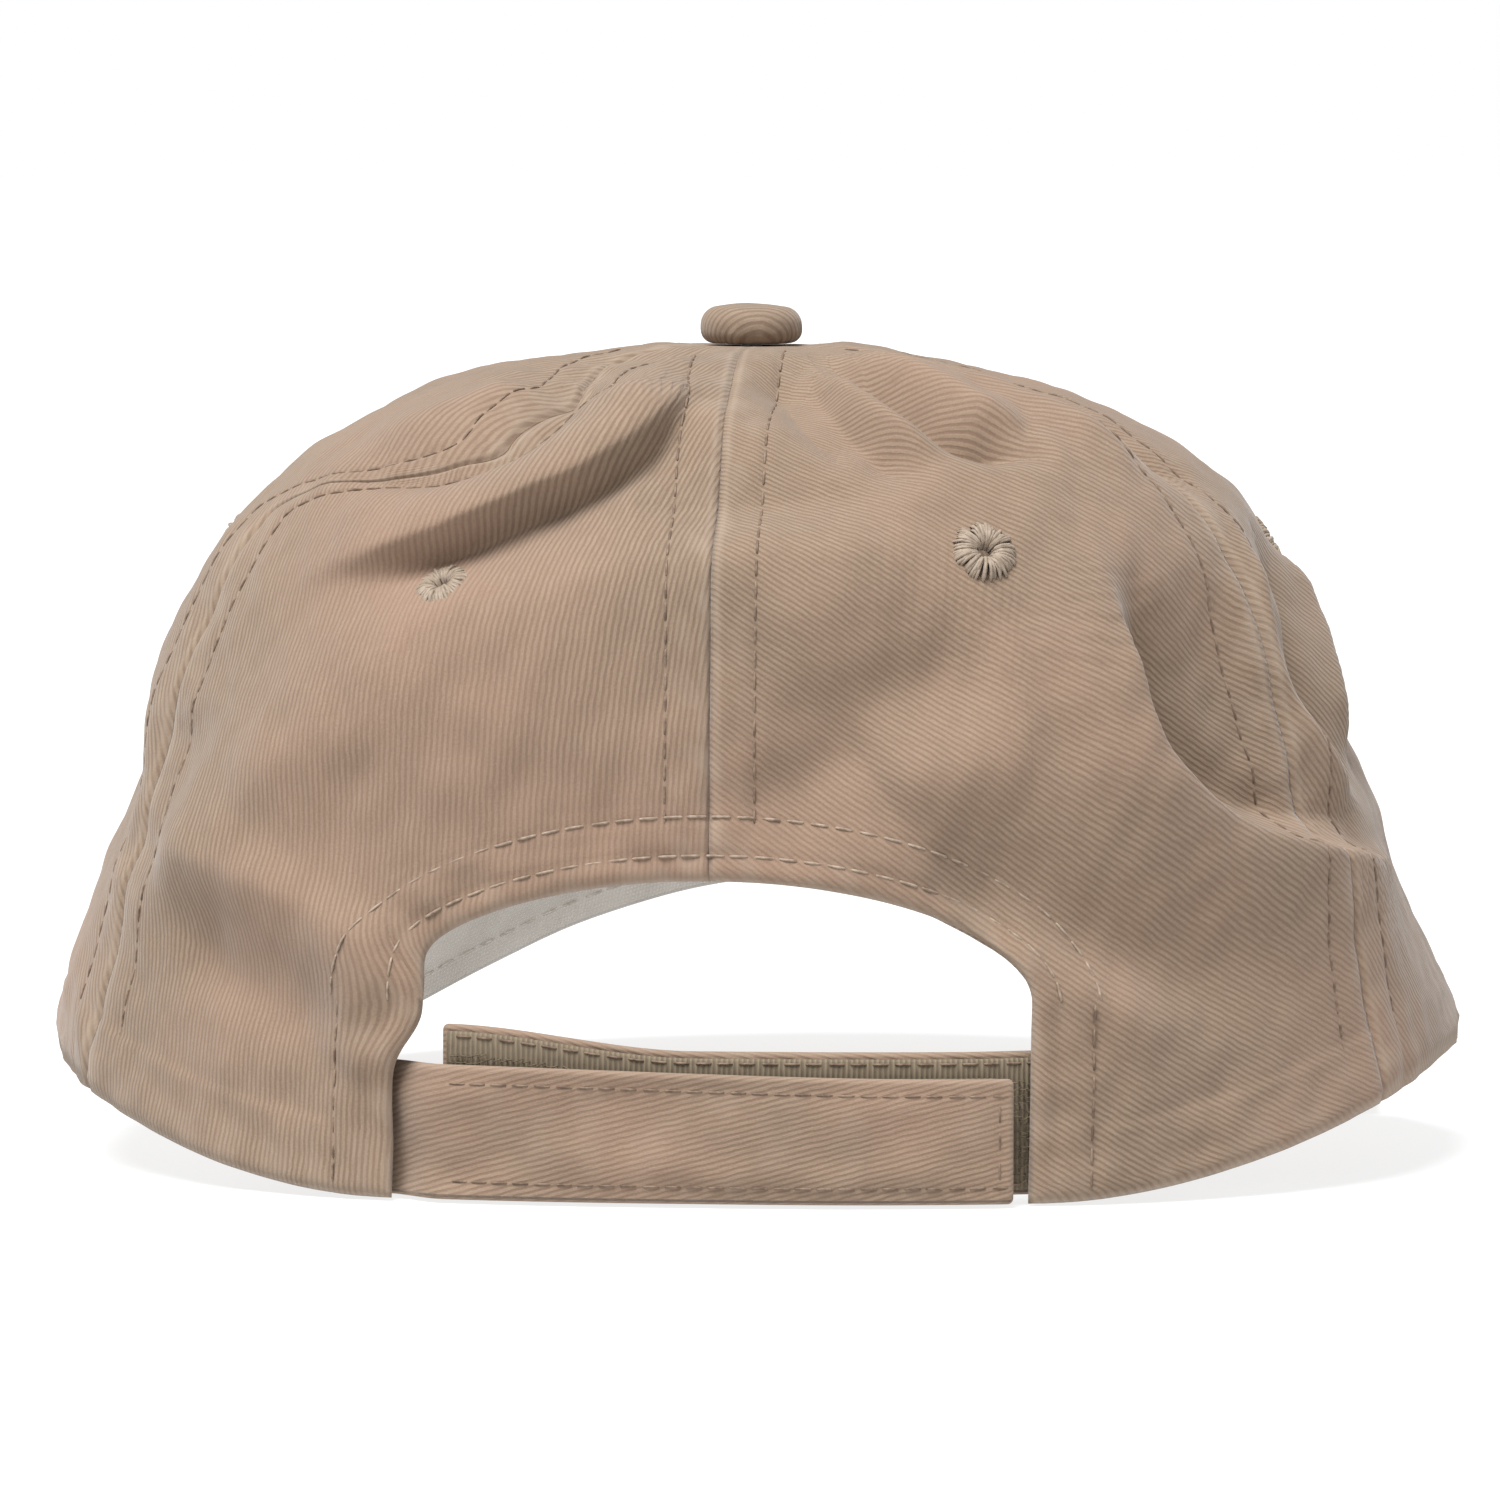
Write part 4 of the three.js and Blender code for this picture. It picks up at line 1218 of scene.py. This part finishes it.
def strap_stations(root, tip):
    """x positions from the root to the tip, close together at the rounded tip."""
    sign = np.sign(tip - root)
    near_tip = np.array([0.0, 0.04, 0.12, 0.25, 0.45, 0.7, 1.0, 1.4, 1.9, 2.5])
    far = np.linspace(abs(tip - root), 3.1, 120)
    return tip - sign * np.concatenate([far, near_tip[::-1]])


def strap_frame(x, depth):
    """Path of a strap along the back of the cap, and its outward direction at each station."""
    path = np.stack([x, back_line(x, depth), 0 * x], axis=-1)
    along = unit(np.gradient(path, axis=0)) * np.sign(x[-1] - x[0])
    return path, np.stack([-along[:, 1], along[:, 0], 0 * x], axis=-1)


def strap_piece(name, root, tip, low, high, depth, lift, thickness, rows, lean, seed, top_fall=0.0):
    """Strap of folded cloth, slightly full between its rows of stitches, with a rounded tip."""
    x = strap_stations(root, tip)
    path, out = strap_frame(x, depth(x) + thickness / 2)
    up, through = strap_section(high - low, thickness)
    from_tip = np.abs(tip - x)
    round_off = 0.8 - np.sqrt(np.clip(0.8 ** 2 - np.clip(0.8 - from_tip, 0, None) ** 2, 0, None))
    slim = np.sqrt(np.clip(1 - np.clip(1 - from_tip / (thickness / 2), 0, 1) ** 2, 0.02, 1))
    span = high - low - 2 * round_off - top_fall * ease(1 - from_tip / abs(tip - root), 0.1, 0.95)
    height = low + round_off[:, None] + (up / up.max())[None, :] * span[:, None] + lift(x)[:, None]
    edge = np.minimum(np.minimum(up, high - low - up)[None, :] + 0 * height, from_tip[:, None])
    full = 0.16 * ease(edge, rows, rows + 3) - 0.12 * bump(edge - rows, 0.55)
    spot = path[:, None] + np.stack([0 * height, 0 * height, height], axis=-1)
    full = full + 0.16 * ripple(spot, 9, seed) * ease(edge, 0, 3)
    full = full + 0.28 * ripple(spot, 26, seed + 1) * ease(edge, 0, 5)
    ridge = 5.2 + 2.2 * np.sin((x - 8) / 17)
    full = full + 0.5 * bump(up[None, :] - ridge[:, None], 3.0) * bump(x[:, None] + 4, 26, 4)
    face = np.where(through > 0, 1.0, np.where(through < 0, -0.3, 0.0))
    depth_out = through[None, :] * slim[:, None] + full * face[None, :] * slim[:, None]
    rings = path[:, None] + out[:, None] * depth_out[..., None]
    rings[..., 2] = height
    run = run_lengths(path, 0)
    across = np.broadcast_to((run if tip < root else -run)[:, None], height.shape)
    uv = turned_uv(across, np.broadcast_to(girth(up, through), height.shape), lean)
    wear = 0.25 * bump(edge, 0.7) + 0.1 * np.clip(ripple(spot, 6, seed + 2), 0, 1)
    piece = tube_piece(name, rings, uv, np.clip(wear, 0, 1) + 0 * height)
    return piece, rings, out


def strap_rows(rings, out, inset, first, last, seed):
    """Rows of stitches on a strap's outer face: along the bottom, across the tip and along the top."""
    face = rings[:, :STRAP_ACROSS]
    sewn = {"pitch": 2.9, "length": 2.4, "radius": 0.15}
    made = []
    for share in (inset / STRAP_WIDTH, 1 - inset / STRAP_WIDTH):
        line = np.stack([at_run(p[:, 2] - p[0, 2], p, share * (p[-1, 2] - p[0, 2])) for p in face])
        made += stitch_row(line[first:last], out[first:last], seed=seed, **sewn)
    middle = face[:, STRAP_ACROSS // 2, 0]
    tip = int(np.argmin(np.abs(np.abs(middle - middle[-1]) - inset)))
    across = face[tip, 3:-3]
    return made + stitch_row(across, np.broadcast_to(out[tip], across.shape), seed=seed + 1, **sewn)


def carpet(x, height, depth, shape_of, seed):
    """Copies of one small shape all over a fastener tape: each stands on the tape's outer face."""
    rng = np.random.default_rng(seed)
    parts = []
    path, out = strap_frame(x, depth)
    for p, o in zip(path, out):
        along = np.array([o[1], -o[0], 0])
        for z in height(p[0]):
            shape, faces = shape_of(rng)
            turn = rng.uniform(-0.5, 0.5)
            ahead = along * math.cos(turn) + np.array([0, 0, 1]) * math.sin(turn)
            spot = p + along * rng.uniform(-0.25, 0.25) + np.array([0, 0, z + rng.uniform(-0.25, 0.25)])
            parts.append((spot + shape @ np.stack([ahead, np.cross(o, ahead), o]), faces))
    return parts


def bent_thread(spots, radius, sides=4):
    """A short thread through a few (x, z) spots in its own plane: its points and faces."""
    spots = np.array([(x, 0.0, z) for x, z in spots])
    along = unit(np.gradient(spots, axis=0))
    side = np.array([0.0, 1.0, 0.0])
    turn = np.linspace(0, 2 * np.pi, sides, endpoint=False)
    rings = [p + radius * (side * math.cos(a) + np.cross(t, side) * math.sin(a))
             for p, t in zip(spots, along) for a in turn]
    return closed_bar(rings, sides)


def pile_loop(rng):
    """A bent loop of the napped tape."""
    w, h = rng.uniform(0.35, 0.7), rng.uniform(0.35, 0.75)
    spots = [(-w, -0.1), (-w * 1.1, h * 0.55), (-w * 0.2, h), (w * 0.8, h * 0.7), (w, -0.1)]
    return bent_thread(spots, 0.075)


def cut_hook(_):
    """One hook of the hook tape; all are alike."""
    return bent_thread([(0, -0.1), (0, 0.35), (0.1, 0.5), (0.28, 0.52), (0.36, 0.38)], 0.07)


def fastener_tape(name, root, tip, low, high, depth, lift, thickness):
    """Woven tape that carries the hooks or the loops: thin, square-edged and ribbed across."""
    x = strap_stations(root, tip)
    path, out = strap_frame(x, depth(x) + thickness / 2)
    up, through = strap_section(high - low, thickness, across=10, corner=2)
    rings = path[:, None] + out[:, None] * through[None, :, None]
    rings[..., 2] = low + up[None, :] + lift(x)[:, None]
    run = run_lengths(path, 0)
    piece = tube_piece(name, rings, flat_grid(run[:, None], girth(up, through)))
    return piece


def level(x):
    """Lift of a strap that stays at one height."""
    return 0 * x


def outer_strap():
    """The strap sewn to the left side, with the hook tape on its inner face."""
    piece, rings, out = strap_piece(
        "outer_strap_cloth", root=52, tip=-41, low=0.15, high=STRAP_HIGH, depth=outer_depth, lift=level,
        thickness=1.5, rows=1.9, lean=-74, seed=101, top_fall=1.4)
    finish_piece(piece, TWILL, None, "twill", "strap_outer_root", "strap_outer")
    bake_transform(piece)
    rows = strap_rows(rings, out, inset=1.9, first=22, last=126, seed=110)
    stitches = joined("outer_strap_stitches", rows, SEAM_THREAD, None, "thread")
    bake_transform(stitches)
    web = fastener_tape("hook_tape_web", root=31, tip=-38.5, low=1.2, high=STRAP_HIGH - 1.4,
                        depth=lambda x: outer_depth(x) + 1.85, lift=level, thickness=0.6)
    finish_piece(web, HOOK_TAPE, "outer_strap", "hook", "hook_tape")
    x = np.arange(-37.5, 30.5, 1.5)
    hooks = carpet(x, lambda _: np.arange(2.8, 16.2, 1.35), outer_depth(x) + 2.45, cut_hook, 120)
    turned = [(mirror_through(points), [f[::-1] for f in faces]) for points, faces in hooks]
    joined("hook_tape_hooks", turned, HOOK_NYLON, "outer_strap", "hook")


def mirror_through(points):
    """Turns a small shape that stands on an outer face so that it stands on the inner face."""
    foot = points[:4].mean(axis=0)
    _, out = strap_frame(np.array([foot[0] - 0.5, foot[0], foot[0] + 0.5]), 0.0)
    way = out[1]
    return points - 2 * ((points - foot) @ way)[:, None] * way


def inner_strap():
    """The strap sewn to the right side, which lies under the other, with the loop tape on its outer face."""
    piece, _, _ = strap_piece(
        "inner_strap_cloth", root=-52, tip=36.5, low=0.9, high=20.4, depth=lambda x: inner_depth(x) + 0.95,
        lift=inner_lift, thickness=1.3, rows=1.7, lean=74, seed=130)
    finish_piece(piece, TWILL, None, "twill", "strap_inner_root", "strap_inner")
    web = fastener_tape("loop_tape_web", root=-49, tip=35.8, low=1.7, high=19.6, depth=inner_depth,
                        lift=inner_lift, thickness=0.8)
    finish_piece(web, LOOP_TAPE, None, "loop", "loop_tape")
    x = np.arange(-48, 35.2, 1.0)
    loops = carpet(x, lambda at: np.arange(3.0, 16.4, 0.95) + inner_lift(at), inner_depth(x), pile_loop, 140)
    pile = joined("loop_tape_pile", loops, LOOP_PILE, None, "loop")
    rows = []
    for height, seed in ((2.5, 151), (18.9, 158)):
        x = np.linspace(-48, 35, 150)
        path, facing = strap_frame(x, inner_depth(x) - 0.02)
        path[:, 2] = height + inner_lift(x)
        rows += stitch_row(path, facing, pitch=3.0, length=2.3, radius=0.17, seed=seed)
    stitches = joined("loop_tape_stitches", rows, SEAM_THREAD, None, "thread")
    for part in (piece, web, pile, stitches):
        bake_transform(part)


outer_strap()
inner_strap()


# ---------------------------------------------------------------- floor, light and the end

def add_light(kind, name, location, direction, **settings):
    bpy.ops.object.light_add(type=kind, location=location)
    light = bpy.context.object
    light.name = name
    for key, value in settings.items():
        setattr(light.data, key, value)
    light.rotation_mode = "QUATERNION"
    light.rotation_quaternion = Vector(direction).to_track_quat("-Z", "Y")
    return light


def make_room():
    """Light table of opal sheet, an even white surround, one large soft light from above and behind,
    and a very small lamp that brings up the sweatband inside."""
    bpy.ops.object.select_all(action="DESELECT")
    bpy.ops.mesh.primitive_plane_add(size=60, location=(0, 0, -0.0004))
    floor = bpy.context.object
    floor.name = "floor"
    material, _, shader = new_material("opal acrylic sheet, lit from below", 0.9)
    shader.inputs["Base Color"].default_value = (0.25, 0.25, 0.25, 1)
    shader.inputs["Emission Color"].default_value = (1, 1, 1, 1)
    shader.inputs["Emission Strength"].default_value = 0.8
    shader.inputs["Specular IOR Level"].default_value = 0.0
    floor.data.materials.append(material)
    world = bpy.data.worlds.new("white surround")
    bpy.context.scene.world = world
    world.use_nodes = True
    surround = world.node_tree.nodes["Background"]
    surround.inputs["Color"].default_value = (1, 1, 1, 1)
    # the surround is seen as plain white, and lights the cap half as brightly
    ray = node(world.node_tree, "LightPath")
    seen = node(world.node_tree, "MapRange", Value=(ray, "Is Camera Ray"), To_Min=0.5, To_Max=1.0)
    world.node_tree.links.new(seen.outputs[0], surround.inputs["Strength"])
    add_light("SUN", "soft_key", (0, 0.6, 1.5), (-0.22, -0.42, -1.0), angle=math.radians(35), energy=5.2)
    lamp = add_light("AREA", "lamp_inside_the_crown", (0, 0.01, 0.085), (0.25, -0.9, -0.45),
                     size=0.05, energy=0.045)
    lamp.visible_camera = False


make_room()
bpy.context.scene.view_settings.view_transform = "Standard"
